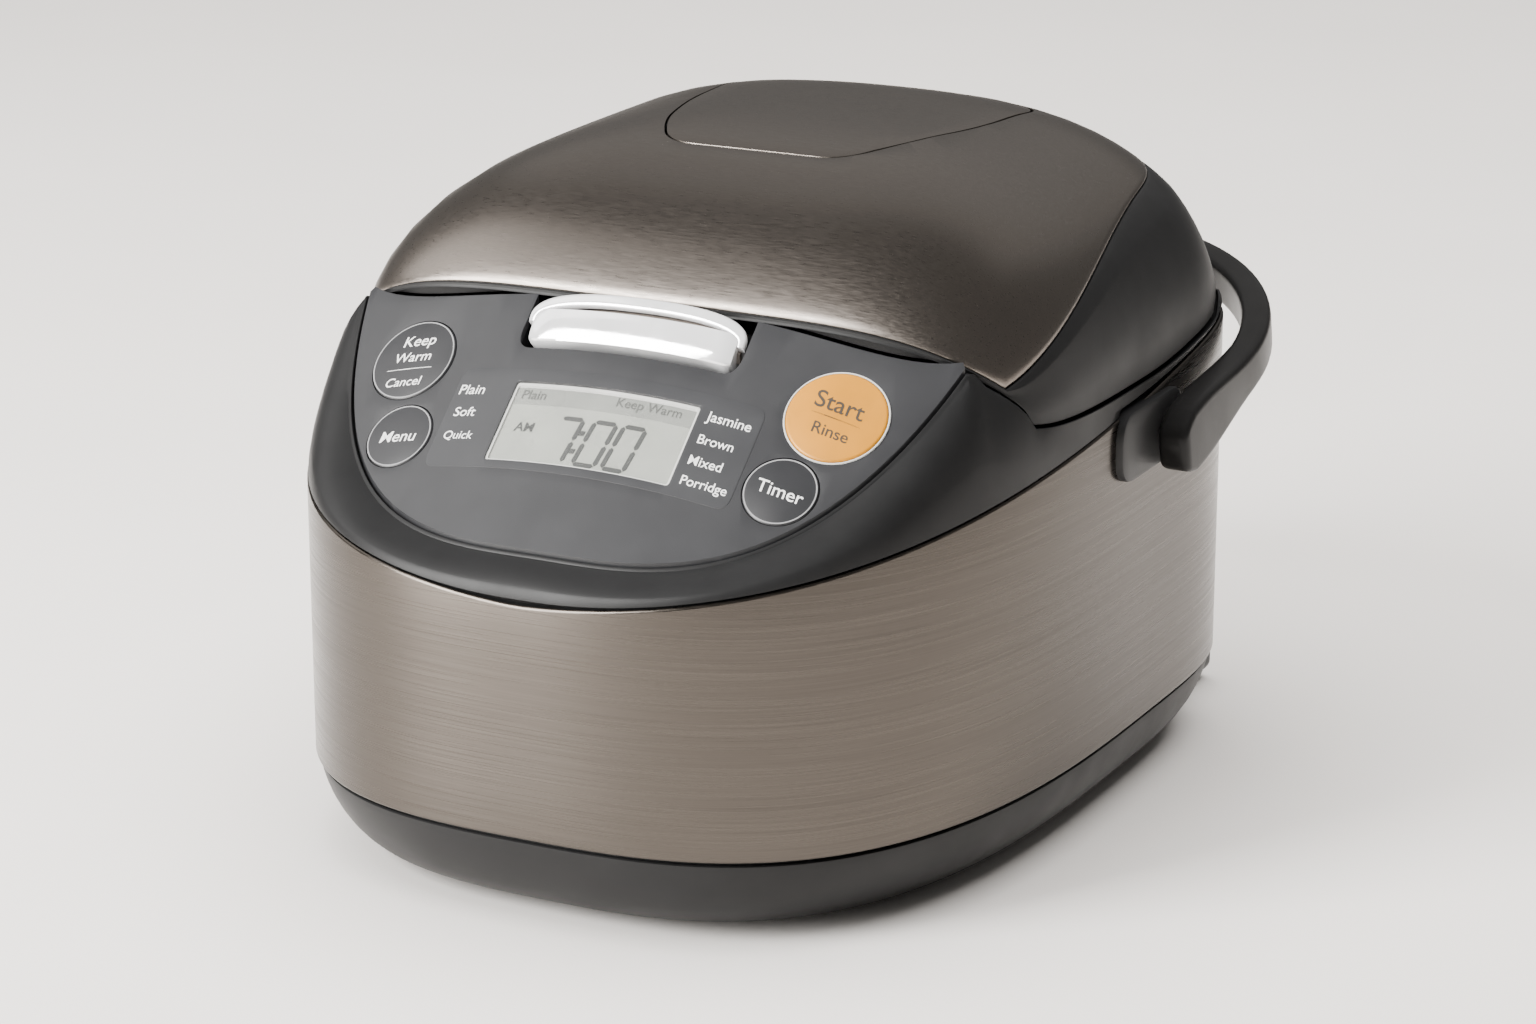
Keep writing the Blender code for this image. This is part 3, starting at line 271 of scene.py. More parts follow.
def build_materials():
    steel = (0.22, 0.194, 0.172)
    # The wrap's steel is a darker copy of the lid's steel: the extra darkness is painted shade, so the wrap's
    # reflection of the bright floor reads dark.
    wall_steel_painted_shade = (0.088, 0.077, 0.067)
    materials = {
        "wrap": brushed("wrap_steel_painted_shade", wall_steel_painted_shade, 0.30, (18, 18, 2600), 0.012, 0.6),
        "skin": brushed("skin_steel", steel, 0.33, (300, 3000, 3000), 0.0003, 0.0),
        "charcoal": moulded("charcoal_plastic", (0.011, 0.011, 0.0113), 0.42, specular_ior_level=0.2),
        "handle": moulded("handle_plastic", (0.009, 0.0087, 0.0087), 0.34, specular_ior_level=0.16),
        "dark": moulded("dark_plastic", (0.010, 0.010, 0.0105), 0.5, 1800, 0.03),
        "panel": moulded("panel_film", (0.019, 0.0193, 0.021), 0.40, 3400, 0.03),
        "sub_panel": moulded("panel_band_film", (0.026, 0.0265, 0.0285), 0.36, 3400, 0.01),
        "key": moulded("key_film", (0.017, 0.0173, 0.019), 0.36, 3400, 0.02),
        "gold": moulded("gold_key", (0.50, 0.20, 0.002), 0.42, 2600, 0.01, metallic=0.2),
        "print": moulded("light_print", (0.74, 0.74, 0.73), 0.5),
        "ring": moulded("ring_print", (0.22, 0.22, 0.225), 0.35),
        "ink": moulded("dark_print", (0.035, 0.028, 0.02), 0.5),
        "lcd": moulded("lcd_face", (0.27, 0.28, 0.25), 0.28, 1200, 0.0),
        "lcd_strip": moulded("lcd_strip", (0.19, 0.197, 0.18), 0.28, 1200, 0.0),
        "lcd_ink": moulded("lcd_digits", (0.022, 0.023, 0.022), 0.5),
        "lcd_ghost": moulded("lcd_ghost_print", (0.07, 0.072, 0.066), 0.4),
        "bezel": moulded("lcd_bezel", (0.52, 0.52, 0.50), 0.3),
        "chrome": sheet_metal("polished_chrome", (0.92, 0.92, 0.93), 0.10, 400, 0.45),
        "bright": sheet_metal("bright_steel", (0.62, 0.61, 0.60), 0.28),
        "aluminium": sheet_metal("satin_aluminium", (0.70, 0.70, 0.71), 0.38, 1400),
        "pot": moulded("pot_coating", (0.045, 0.043, 0.042), 0.42, 1500, 0.05, metallic=0.3),
        "rubber": moulded("foot_rubber", (0.018, 0.018, 0.018), 0.75, 1500, 0.05),
        "silicone": moulded("seal_silicone", (0.55, 0.54, 0.52), 0.55, 1500, 0.02),
        "copper": brushed("wound_copper", (0.62, 0.27, 0.13), 0.35, (420, 420, 90), 0.08, 0.0),
        "board": moulded("circuit_board", (0.018, 0.11, 0.045), 0.4, 900, 0.06),
        "pocket": moulded("pocket_brown", (0.19, 0.165, 0.145), 0.5),
    }
    window = Finish("window_pane", (0.3, 0.31, 0.3), 0.06)
    window.set("Alpha", 0.05)
    window.bump(window.noise((30, 30, 30), 2.0), 0.01)
    materials["window"] = window.material
    floor = Finish("pale_floor", (0.80, 0.765, 0.735), 0.8)
    floor.tint(floor.noise((5, 5, 5), 3.0), 0.985, 1.015)
    floor.bump(floor.noise((900, 900, 900), 2.0), 0.05)
    materials["floor"] = floor.material
    return materials


# ---------------------------------------------------------------- outlines and surfaces

def polar_radius(angle, half_width, front, back, front_power, back_power):
    """Distance from the centre to a superellipse whose two halves differ."""
    across, along = math.cos(angle), math.sin(angle)
    depth, power = (front, front_power) if along < 0 else (back, back_power)
    return (abs(across / half_width) ** power + abs(along / depth) ** power) ** (-1 / power)


def turn_angles(count=FINE):
    return [2 * math.pi * (step + 0.5) / count for step in range(count)]


def body_radius(angle, inset=0.0):
    return polar_radius(angle, BODY_HALF_WIDTH - inset, BODY_FRONT - inset, BODY_BACK - inset,
                        NOSE_POWER, BACK_POWER)


def body_ring(inset, height):
    """A ring of the body's plan outline; inset and height are numbers or functions of y."""
    ring = []
    for angle in turn_angles():
        y = body_radius(angle) * math.sin(angle)
        radius = body_radius(angle, inset(y) if callable(inset) else inset)
        ring.append((radius * math.cos(angle), radius * math.sin(angle),
                     height(y) if callable(height) else height))
    return ring


def smooth_step(value, low, high):
    share = min(1.0, max(0.0, (value - low) / (high - low)))
    return share * share * (3 - 2 * share)


def steel_edge(y):
    """Height of the steel wrap's top edge: low round the nose, level beside the lid, high behind."""
    nose = 34.5 * (1 - min(1.0, max(0.0, (y + BODY_FRONT) / 170)) ** 0.52)
    return 146.0 - nose + 12.0 * smooth_step(y, -45, 85)


def lid_seam(y):
    """Height that the lid's lower edge tends to along the sides and round the back."""
    return 152.0 + 11.0 * smooth_step(y, -10, 80)


def panel_height(x, y):
    return PANEL_REFERENCE_Z + PANEL_SLOPE * (y - PANEL_REFERENCE_Y - x * x / (2 * PANEL_CROWN_RADIUS))


def panel_spot(x, y, offset=0.0):
    """A point offset from the panel's surface along its normal there, and that normal."""
    normal = Vector((PANEL_SLOPE * x / PANEL_CROWN_RADIUS, -PANEL_SLOPE, 1)).normalized()
    return Vector((x, y, panel_height(x, y))) + normal * offset, normal


def dome_radius(angle):
    return polar_radius(angle, DOME_HALF_WIDTH, DOME_FRONT, DOME_BACK, DOME_FRONT_POWER, DOME_BACK_POWER)


def dome_share_at(height):
    """How far out, from 0 at the crown to 1 at the base, the dome reaches at a height."""
    rise = max(0.0, (height - DOME_BASE) / DOME_RISE)
    return max(0.0, 1 - rise ** DOME_RISE_POWER) ** (1 / DOME_PLAN_POWER)


def dome_height(share):
    return DOME_BASE + DOME_RISE * max(0.0, 1 - share ** DOME_PLAN_POWER) ** (1 / DOME_RISE_POWER)


def dome_surface(angle, share):
    radius = dome_radius(angle) * share
    return Vector((radius * math.cos(angle), DOME_CENTRE_Y + radius * math.sin(angle), dome_height(share)))


def dome_point(angle, share, depth=0.0):
    """A point on the dome, or depth inside it along the surface's normal."""
    point = dome_surface(angle, share)
    if not depth:
        return tuple(point)
    step = 0.002
    inner, outer = max(share - step, 0.001), min(share + step, 0.9995)
    along = dome_surface(angle, outer) - dome_surface(angle, inner)
    around = dome_surface(angle + step, max(share, 0.02)) - dome_surface(angle - step, max(share, 0.02))
    return tuple(point + around.cross(along).normalized() * depth)


def lid_edge(angle):
    """Plan share and height of the lid's outer lower edge, by angle about the dome's centre."""
    limit = polar_radius(angle, DOME_HALF_WIDTH + 1, LID_FRONT, DOME_BACK + 20, LID_FRONT_POWER, 2)
    share = limit / dome_radius(angle)
    front = dome_height(share) if share < 1 else DOME_BASE - LID_FRONT_SLOPE * (share - 1)
    side = lid_seam(DOME_CENTRE_Y + limit * math.sin(angle))
    height = side + LID_SOFTNESS * math.log1p(math.exp(min(60.0, (front - side) / LID_SOFTNESS)))
    return dome_share_at(height), height


def lid_plan_radius(angle):
    """Lid edge in plan, by angle about the body's centre line."""
    low, high = 60.0, 260.0
    for _ in range(26):
        middle = (low + high) / 2
        x, y = middle * math.cos(angle), middle * math.sin(angle) - DOME_CENTRE_Y
        turn = math.atan2(y, x)
        if math.hypot(x, y) < dome_radius(turn) * lid_edge(turn)[0]:
            low = middle
        else:
            high = middle
    return low


def skin_side_height(y):
    """Height of the steel skin's side edge, climbing from the lid's front corners to the back."""
    reach = max(0.0, (95 - y) / 190)
    return 211.7 - 39.5 * reach ** 1.9


def skin_share(angle):
    share, height = lid_edge(angle)
    y = DOME_CENTRE_Y + dome_radius(angle) * share * math.sin(angle)
    for _ in range(6):
        share = dome_share_at(max(height + 2.1, skin_side_height(y)))
        y = DOME_CENTRE_Y + dome_radius(angle) * share * math.sin(angle)
    return share


LID_RADII = {angle: lid_plan_radius(angle) for angle in turn_angles()}
LID_TURNS = [math.atan2(radius * math.sin(angle) - DOME_CENTRE_Y, radius * math.cos(angle))
             for angle, radius in LID_RADII.items()]
LID_EDGES = {turn: lid_edge(turn) for turn in LID_TURNS}
SKIN_SHARES = {turn: skin_share(turn) for turn in LID_TURNS}
SEAM_HEIGHTS = {angle: LID_EDGES[turn][1] for angle, turn in zip(LID_RADII, LID_TURNS)}


# ---------------------------------------------------------------- mesh helpers

def add_piece(name, mesh, material, body, replaced=(), smooth=30):
    """Make a piece from a mesh, ride it on its body and hide the frame nodes it stands for."""
    mesh.materials.clear()
    mesh.materials.append(material)
    mesh.shade_smooth()
    mesh.set_sharp_from_angle(angle=math.radians(smooth))
    piece = bpy.data.objects.new(name, mesh)
    bpy.context.collection.objects.link(piece)
    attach(piece, body)
    if replaced:
        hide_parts(*replaced)
    return piece


def finish_bmesh(shape, name):
    bmesh.ops.recalc_face_normals(shape, faces=shape.faces)
    mesh = bpy.data.meshes.new(name)
    shape.to_mesh(mesh)
    shape.free()
    return mesh


def loft_mesh(name, rings, closed=False):
    """Skin a stack of rings; closed joins the last ring to the first, else both ends are capped."""
    shape = bmesh.new()
    loops = [[shape.verts.new(place(*point)) for point in ring] for ring in rings]
    pairs = list(zip(loops, loops[1:]))
    if closed:
        pairs.append((loops[-1], loops[0]))
    else:
        shape.faces.new(loops[0])
        shape.faces.new(loops[-1])
    count = len(rings[0])
    for lower, upper in pairs:
        for step in range(count):
            after = (step + 1) % count
            shape.faces.new((lower[step], lower[after], upper[after], upper[step]))
    return finish_bmesh(shape, name)


def plan_prism(name, outline, low, high):
    return loft_mesh(name, [[(x, y, height) for x, y in outline] for height in (low, high)])


def rounded_box(name, centre, size, radius=1.0, steps=3):
    shape = bmesh.new()
    bmesh.ops.create_cube(shape, size=1)
    for vertex in shape.verts:
        vertex.co = place(*(centre[axis] + vertex.co[axis] * size[axis] for axis in range(3)))
    if radius:
        bmesh.ops.bevel(shape, geom=shape.edges[:], offset=radius * MM, segments=steps,
                        profile=0.5, affect="EDGES")
    return finish_bmesh(shape, name)


def rounded_outline(corners, radius, steps=8):
    """Round the corners of a plan outline given as (x, y) points, counter-clockwise."""
    points = []
    count = len(corners)
    for index in range(count):
        corner = Vector(corners[index])
        before = Vector(corners[index - 1]) - corner
        after = Vector(corners[(index + 1) % count]) - corner
        reach = min(radius, before.length * 0.45, after.length * 0.45)
        start = corner + before.normalized() * reach
        end = corner + after.normalized() * reach
        for step in range(steps + 1):
            share = step / steps
            points.append(tuple(start * (1 - share) ** 2 + corner * 2 * share * (1 - share)
                                + end * share ** 2))
    return points


def rectangle(half_width, low_y, high_y, radius, middle=0.0):
    left, right = middle - half_width, middle + half_width
    return rounded_outline([(left, low_y), (right, low_y), (right, high_y), (left, high_y)], radius)


def combined(mesh, tools, operation="DIFFERENCE", bevel=0.0):
    """The mesh after exact Booleans with other meshes and an optional fine edge rounding."""
    subject = bpy.data.objects.new("subject", mesh)
    bpy.context.collection.objects.link(subject)
    helpers = []
    for tool in tools:
        helper = bpy.data.objects.new("helper", tool)
        bpy.context.collection.objects.link(helper)
        helpers.append(helper)
        modifier = subject.modifiers.new("cut", "BOOLEAN")
        modifier.operation = operation
        modifier.solver = "EXACT"
        modifier.object = helper
    if bevel:
        modifier = subject.modifiers.new("round", "BEVEL")
        modifier.width = bevel * MM
        modifier.segments = 3
        modifier.angle_limit = math.radians(50)
    bpy.context.view_layer.update()
    graph = bpy.context.evaluated_depsgraph_get()
    result = bpy.data.meshes.new_from_object(subject.evaluated_get(graph))
    for thing in [subject] + helpers:
        bpy.data.objects.remove(thing)
    return result


# ---------------------------------------------------------------- base, wrap and feet

def bowl_inset(height):
    """How far the base curves in below the steel."""
    share = (STEEL_BOTTOM - height) / (STEEL_BOTTOM - BASE_UNDERSIDE)
    return 1.2 + 22.4 * (1 - math.sqrt(max(0.0, 1 - share ** 1.56)))


def build_base(look):
    heights = [29.0, 27, 24, 20, 16, 12, 9, 6.5, 5, 3.8, 3.0, BASE_UNDERSIDE]
    wall = 2.4
    inner = [body_ring(bowl_inset(height) + wall, height + wall) for height in reversed(heights[1:])]
    rim = [body_ring(4.8, BASE_TOP - 1.4), body_ring(4.8, BASE_TOP + 6), body_ring(2.9, BASE_TOP + 6),
           body_ring(2.9, BASE_TOP - 0.4), body_ring(2.0, BASE_TOP - 0.4), body_ring(1.45, BASE_TOP - 0.8)]
    outer = [body_ring(bowl_inset(height), height) for height in heights]
    shell = loft_mesh("base_shell", inner + rim + outer)
    slots = [rounded_box("slot", (0, -150 + step * 8, 3), (56, 3.6, 12), 0) for step in range(7)]
    add_piece("base_shell", combined(shell, slots), look["charcoal"], "body", ["base_cover"])


def rolled_rim(turn_from, turn_to):
    """A rolled rim from one angle to another, as (inset, height offset) pairs."""
    points = []
    for step in range(7):
        turn = math.radians(turn_from + (turn_to - turn_from) * step / 6)
        points.append((STEEL_ROLL - STEEL_ROLL * math.cos(turn), STEEL_ROLL * math.sin(turn)))
    return points


def build_wrap(look):
    """Steel wrap with rolled edges: the rolls catch the light as thin bright lines."""
    foot = STEEL_BOTTOM + STEEL_ROLL
    rings = [body_ring(inset, foot + rise) for inset, rise in rolled_rim(-80, 0)]
    for share in (0.2, 0.4, 0.6, 0.8):
        rings.append(body_ring(0, lambda y, share=share: foot
                               + (steel_edge(y) - 2 * STEEL_ROLL - STEEL_BOTTOM) * share))
    rings += [body_ring(inset, lambda y, rise=rise: steel_edge(y) - STEEL_ROLL + rise)
              for inset, rise in rolled_rim(0, 80)]
    rings += [body_ring(1.9, lambda y: steel_edge(y) - 0.6), body_ring(1.9, STEEL_BOTTOM + 1)]
    add_piece("wrap_sheet", loft_mesh("wrap_sheet", rings, closed=True), look["wrap"], "body",
              ["steel_wrap"], 50)


def build_outlet(look):
    block = rounded_box("outlet_block", (84, 118.5, 12), (50, 29, 18), 4.5, 6)
    socket = rounded_box("socket", (84, 137, 12), (24, 16, 9), 1.5)
    shape = combined(block, [socket], bevel=0.5)
    add_piece("outlet_block", shape, look["charcoal"], "body", ["cord_outlet"])


# ---------------------------------------------------------------- collar

def panel_plan_radius(angle, inset=0.0):
    return polar_radius(angle, PANEL_HALF_WIDTH - inset, PANEL_FRONT - inset, BODY_BACK,
                        PANEL_POWER, PANEL_POWER)


def panel_share(angle):
    """1 where the collar's upper edge borders the control panel, 0 where it borders the lid."""
    return smooth_step(panel_plan_radius(angle) - LID_RADII[angle] - LID_GAP, 0.2, 2.2)


def collar_ring(front, side):
    """front and side give (plan radius, height) for an angle, before and beside the lid."""
    ring = []
    for angle in turn_angles():
        share = panel_share(angle)
        radius, height = (share * ahead + (1 - share) * beside
                          for ahead, beside in zip(front(angle), side(angle)))
        ring.append((radius * math.cos(angle), radius * math.sin(angle), height))
    return ring


def panel_point(angle, inset, drop):
    radius = panel_plan_radius(angle, inset)
    return radius, panel_height(radius * math.cos(angle), radius * math.sin(angle)) - drop


def seam_point(angle, outset, drop):
    return LID_RADII[angle] + outset, SEAM_HEIGHTS[angle] - drop


def groove_depth(y):
    """Depth of the shadow groove between the collar's upper band and the steel, behind the pivots."""
    return 4.6 * smooth_step(y, -36, -14)


def collar_shoulder(share, tuck=0.0):
    """Ring part of the way from the steel's edge up to the panel's outline and the lid's seam."""
    turn = share * COLLAR_TURN
    inward = (1 - math.cos(turn)) / (1 - math.cos(COLLAR_TURN))
    upward = math.sin(turn) / math.sin(COLLAR_TURN)

    def blend(angle, target):
        radius = body_radius(angle, 0.35)
        y = radius * math.sin(angle)
        height = steel_edge(y) + 2 * GAP
        return (radius + (target[0] - radius) * inward - tuck * groove_depth(y),
                height + (target[1] - height) * upward)
    return collar_ring(lambda angle: blend(angle, panel_point(angle, 0, 0.45)),
                       lambda angle: blend(angle, seam_point(angle, 1.3, 1.0)))


def build_collar(look):
    """Moulded rim: skirt inside the steel, shoulder, panel recess, lid ledge and well mouth."""
    floor = LEDGE_HEIGHT

    def level(radius_function, height):
        return lambda angle: (radius_function(angle), height)

    def well(radius, height):
        path = level(lambda angle: WELL_Y * math.sin(angle)
                     + math.sqrt((WELL_Y * math.sin(angle)) ** 2 - WELL_Y * WELL_Y + radius * radius), height)
        return collar_ring(path, path)

    def lid_wall(outset):
        return lambda angle: LID_RADII[angle] + outset

    rings = [body_ring(2.4, lambda y: steel_edge(y) - COLLAR_SKIRT_DROP),
             body_ring(2.4, lambda y: steel_edge(y) - 0.4),
             body_ring(2.2, lambda y: steel_edge(y) + GAP),
             collar_shoulder(0, 1)]
    rings += [collar_shoulder(share, 1) for share in (0.12, 0.26)]
    rings += [collar_shoulder(0.30, 0.25), collar_shoulder(0.32, 0.0)]
    rings += [collar_shoulder(share) for share in (0.42, 0.54, 0.66, 0.78, 0.89, 0.96, 1.0)]
    for inset, fall in ((0.35, 0.10), (0.8, 0.22), (1.1, 0.8)):
        rings.append(collar_ring(
            lambda angle, inset=inset, fall=fall: panel_point(angle, inset, fall),
            lambda angle, inset=inset, fall=fall: seam_point(angle, 1.3 - inset, 0.75 + fall)))
    rings += [collar_ring(lambda angle: panel_point(angle, 1.15, PANEL_SEAT),
                          lambda angle: seam_point(angle, 0.1, 2.5)),
              collar_ring(lambda angle: (LID_RADII[angle] + LID_GAP,
                                         panel_height(*lid_side_point(angle)) - PANEL_SEAT),
                          lambda angle: seam_point(angle, -1.6, 3.4)),
              collar_ring(level(lid_wall(LID_GAP), floor), level(lid_wall(-2.4), floor)),
              well(WELL_RADIUS, floor), well(WELL_RADIUS, floor - 11),
              well(WELL_RADIUS + 2.6, floor - 11), well(WELL_RADIUS + 2.6, floor - 2.6),
              body_ring(4.8, lambda y: min(floor - 3, steel_edge(y) - 2)),
              body_ring(4.8, lambda y: steel_edge(y) - COLLAR_SKIRT_DROP)]
    collar = loft_mesh("collar_rim", rings, closed=True)
    recess = plan_prism("recess", rectangle(38, -170.1, -140.4, 1.0), 110, 220)
    pocket = plan_prism("pocket", rectangle(41.6, -133, -100, 5), 150, 215)
    slab = panel_patch("slab", 60, -150, -90, 12, -13, 8, 8)
    pocket = combined(pocket, [slab], "INTERSECT")
    sockets = [loft_mesh("socket", disc_rings(x, y, [(radius + KEY_SOCKET_GAP, KEY_SOCKET_BOTTOM),
                                                     (radius + KEY_SOCKET_GAP, KEY_SOCKET_TOP)]))
               for x, y, radius in KEYS.values()]
    collar = combined(collar, [recess, pocket] + sockets)
    add_piece("collar_rim", collar, look["charcoal"], "body", ["top_collar"], 40)


def lid_side_point(angle):
    radius = LID_RADII[angle] + LID_GAP
    return radius * math.cos(angle), radius * math.sin(angle)


# ---------------------------------------------------------------- control panel

def panel_patch(name, half_width, low_y, high_y, top, bottom, columns=40, rows=10, middle=0.0):
    """A crowned sheet that follows the panel's surface between two offsets along its normal."""
    rings = []
    for row in range(rows + 1):
        y = low_y + (high_y - low_y) * row / rows
        ring = []
        for offset, order in ((top, 1), (bottom, -1)):
            line = [tuple(panel_spot(middle + half_width * (2 * column / columns - 1), y, offset)[0])
                    for column in range(columns + 1)]
            ring += line[::order]
        rings.append(ring)
    return loft_mesh(name, rings)


def panel_plate(name, outline, top, bottom, holes=(), bevel=0.3):
    """A plate cut to a plan outline, whose faces follow the panel's surface."""
    xs = [x for x, y in outline]
    ys = [y for x, y in outline]
    middle = (max(xs) + min(xs)) / 2
    prism = plan_prism(name, outline, 90, 235)
    slab = panel_patch("slab", (max(xs) - min(xs)) / 2 + 2, min(ys) - 14, max(ys) + 14, top, bottom,
                       middle=middle)
    plate = combined(prism, [slab], "INTERSECT")
    return combined(plate, holes, bevel=bevel)


def panel_outline(inset, back_gap):
    """The control panel's outline: the nose's curve, closed by the line along the lid's edge."""
    nose, back = [], []
    for angle in turn_angles():
        if math.sin(angle) > -0.5:
            continue
        front = panel_plan_radius(angle, inset)
        rear = LID_RADII[angle] + back_gap
        if front > rear + 1.5:
            nose.append((front * math.cos(angle), front * math.sin(angle)))
            back.append((rear * math.cos(angle), rear * math.sin(angle)))
    return nose + back[::-1]


KEYS = {
    "start_button": (79.4, -135.8, 16.8),
    "keep_warm_button": (-79.4, -135.8, 16.2),
    "menu_button": (-71.1, -159.6, 12.6),
    "timer_button": (71.1, -159.6, 12.6),
}
WINDOW_X = 34.4
WINDOW_LOW_Y = -167.0
WINDOW_HIGH_Y = -143.5
LATCH_X = 38.0


def disc_rings(x, y, profile, count=96):
    """Rings about the panel's normal at a spot, for a profile of (radius, height)."""
    centre, axis = panel_spot(x, y)
    side = Vector((1, 0, 0))
    side = (side - axis * side.dot(axis)).normalized()
    other = axis.cross(side)
    rings = []
    for radius, height in profile:
        hub = centre + axis * height
        rings.append([tuple(hub + (side * math.cos(angle) + other * math.sin(angle)) * radius)
                      for angle in turn_angles(count)])
    return rings


def build_panel(look):
    holes = []
    for x, y, radius in KEYS.values():
        holes.append(loft_mesh("hole", disc_rings(x, y, [(radius + KEY_PLAY, -7), (radius + KEY_PLAY, 7)])))
    opening = window_outline(-0.2, -0.2, 1.5)
    holes.append(plan_prism("window_hole", opening, 100, 225))
    holes.append(plan_prism("latch_hole", rectangle(LATCH_X + 3.4, -133.4, -100, 6), 100, 235))
    plate = panel_plate("panel_plate", panel_outline(1.9, LID_GAP + 0.1), 0.1, -2.4, holes)
    add_piece("panel_plate", plate, look["panel"], "body", ["control_panel"])
    window = plan_prism("window_hole", window_outline(0, 0, 1.3), 100, 225)
    band = [(-56.5, -169.3), (56.5, -169.3), (56.8, -139.9), (-56.8, -139.9)]
    plate = panel_plate("panel_band", rounded_outline(band, 4), 0.2, -0.3, [window], 0.06)
    add_piece("panel_band", plate, look["sub_panel"], "body")


def window_outline(inset_x, inset_y, radius):
    """The display window's outline, drawn in from its sides and from its upper and lower edges."""
    return rectangle(WINDOW_X - inset_x, WINDOW_LOW_Y + inset_y, WINDOW_HIGH_Y - inset_y, radius)


def build_display(look):
    pane = panel_plate("display_pane", window_outline(0, 0, 1.3), 0.18, -0.25)
    add_piece("display_pane", pane, look["window"], "body", ["display_window"])
    inner = plan_prism("hole", window_outline(0.9, 0.8, 0.9), 100, 225)
    bezel = panel_plate("display_bezel", window_outline(0.1, 0.1, 1.2), -0.3, -2.2, [inner], 0.25)
    add_piece("display_bezel", bezel, look["bezel"], "body")
    face = panel_plate("display_face", window_outline(0.5, 0.5, 1.0), -0.9, -2.3, (), 0.05)
    add_piece("display_face", face, look["lcd"], "body")
    strip = panel_plate("display_strip", rectangle(WINDOW_X - 1.0, -149.2, WINDOW_HIGH_Y - 0.9, 0.5),
                        -0.82, -1.2, (), 0.03)
    add_piece("display_strip", strip, look["lcd_strip"], "body")
    build_digits(look)


SEGMENTS_LIT = {"7": "abc", "0": "abcdef"}
SEGMENT_ENDS = {"a": ((0, 2), (1, 2)), "b": ((1, 1), (1, 2)), "c": ((1, 0), (1, 1)), "d": ((0, 0), (1, 0)),
                "e": ((0, 0), (0, 1)), "f": ((0, 1), (0, 2))}


def panel_solid(shape, outline, top, bottom):
    """Add a small closed plate over a plan outline of (x, along-slope) points to a mesh."""
    loops = []
    for offset in (top, bottom):
        loops.append([shape.verts.new(place(*panel_spot(x, slope * math.cos(PANEL_TILT), offset)[0]))
                      for x, slope in outline])
    shape.faces.new(loops[0])
    shape.faces.new(loops[1][::-1])
    count = len(outline)
    for step in range(count):
        after = (step + 1) % count
        shape.faces.new((loops[0][step], loops[1][step], loops[1][after], loops[0][after]))


def build_digits(look):
    """Seven-segment clock digits, slanted as on such displays."""
    width, height, thick, lean = 8.0, 8.4, 1.6, 0.12
    low = -166.2 / math.cos(PANEL_TILT)
    shape = bmesh.new()

    def slant(x, up):
        return x + up * lean, low + 1.0 + up

    for digit, left in (("7", -14.5), ("0", -2.2), ("0", 8.6)):
        for segment in SEGMENTS_LIT[digit]:
            (x0, y0), (x1, y1) = SEGMENT_ENDS[segment]
            start = Vector((left + x0 * width, y0 * height))
            end = Vector((left + x1 * width, y1 * height))
            run = (end - start).normalized()
            side = Vector((-run.y, run.x)) * thick / 2
            start += run * 0.25
            end -= run * 0.25
            tip = run * thick / 2
            corners = [start, start + tip - side, end - tip - side, end, end - tip + side, start + tip + side]
            panel_solid(shape, [slant(corner.x, corner.y) for corner in corners], -0.7, -0.85)
    for up in (0.55 * height, 1.4 * height):
        dot = [(-4.6 + dx, up + dy) for dx, dy in ((-0.9, -0.9), (0.9, -0.9), (0.9, 0.9), (-0.9, 0.9))]
        panel_solid(shape, [slant(x, y) for x, y in dot], -0.7, -0.85)
    add_piece("display_digits", finish_bmesh(shape, "display_digits"), look["lcd_ink"], "body")


def lettering(name, words, material, body, lift=0.08):
    """Printed words on the panel's surface; each is (text, x, y, width) with its centre and width."""
    shape = bmesh.new()
    for text, x, y, width in words:
        curve = bpy.data.curves.new("word", "FONT")
        curve.body = text
        curve.align_x = "CENTER"
        curve.align_y = "CENTER"
        curve.extrude = 0.004
        curve.offset = 0.005
        writer = bpy.data.objects.new("word", curve)
        bpy.context.collection.objects.link(writer)
        bpy.context.view_layer.update()
        graph = bpy.context.evaluated_depsgraph_get()
        mesh = bpy.data.meshes.new_from_object(writer.evaluated_get(graph))
        bpy.data.objects.remove(writer)
        xs = [vertex.co.x for vertex in mesh.vertices]
        ys = [vertex.co.y for vertex in mesh.vertices]
        scale = width / (max(xs) - min(xs))
        middle_x, middle_y = (max(xs) + min(xs)) / 2, (max(ys) + min(ys)) / 2
        for vertex in mesh.vertices:
            across = x + (vertex.co.x - middle_x) * scale
            along = y + (vertex.co.y - middle_y) * scale * math.cos(PANEL_TILT)
            offset = lift + (0.03 if vertex.co.z > 0 else -0.03)
            vertex.co = place(*panel_spot(across, along, offset)[0])
        shape.from_mesh(mesh)
    mesh = bpy.data.meshes.new(name)
    bmesh.ops.remove_doubles(shape, verts=shape.verts, dist=1e-7)
    bmesh.ops.recalc_face_normals(shape, faces=shape.faces)
    shape.to_mesh(mesh)
    shape.free()
    add_piece(name, mesh, material, body)


def rule(name, x, y, width, material, body, lift):
    """A thin printed line across a key."""
    shape = bmesh.new()
    slope = y / math.cos(PANEL_TILT)
    points = []
    for step in range(9):
        points.append((x - width / 2 + width * step / 8, slope - 0.14))
    points += [(px, slope + 0.14) for px, _ in reversed(points)]
    panel_solid(shape, points, lift, lift - 0.06)
    add_piece(name, finish_bmesh(shape, name), material, body)


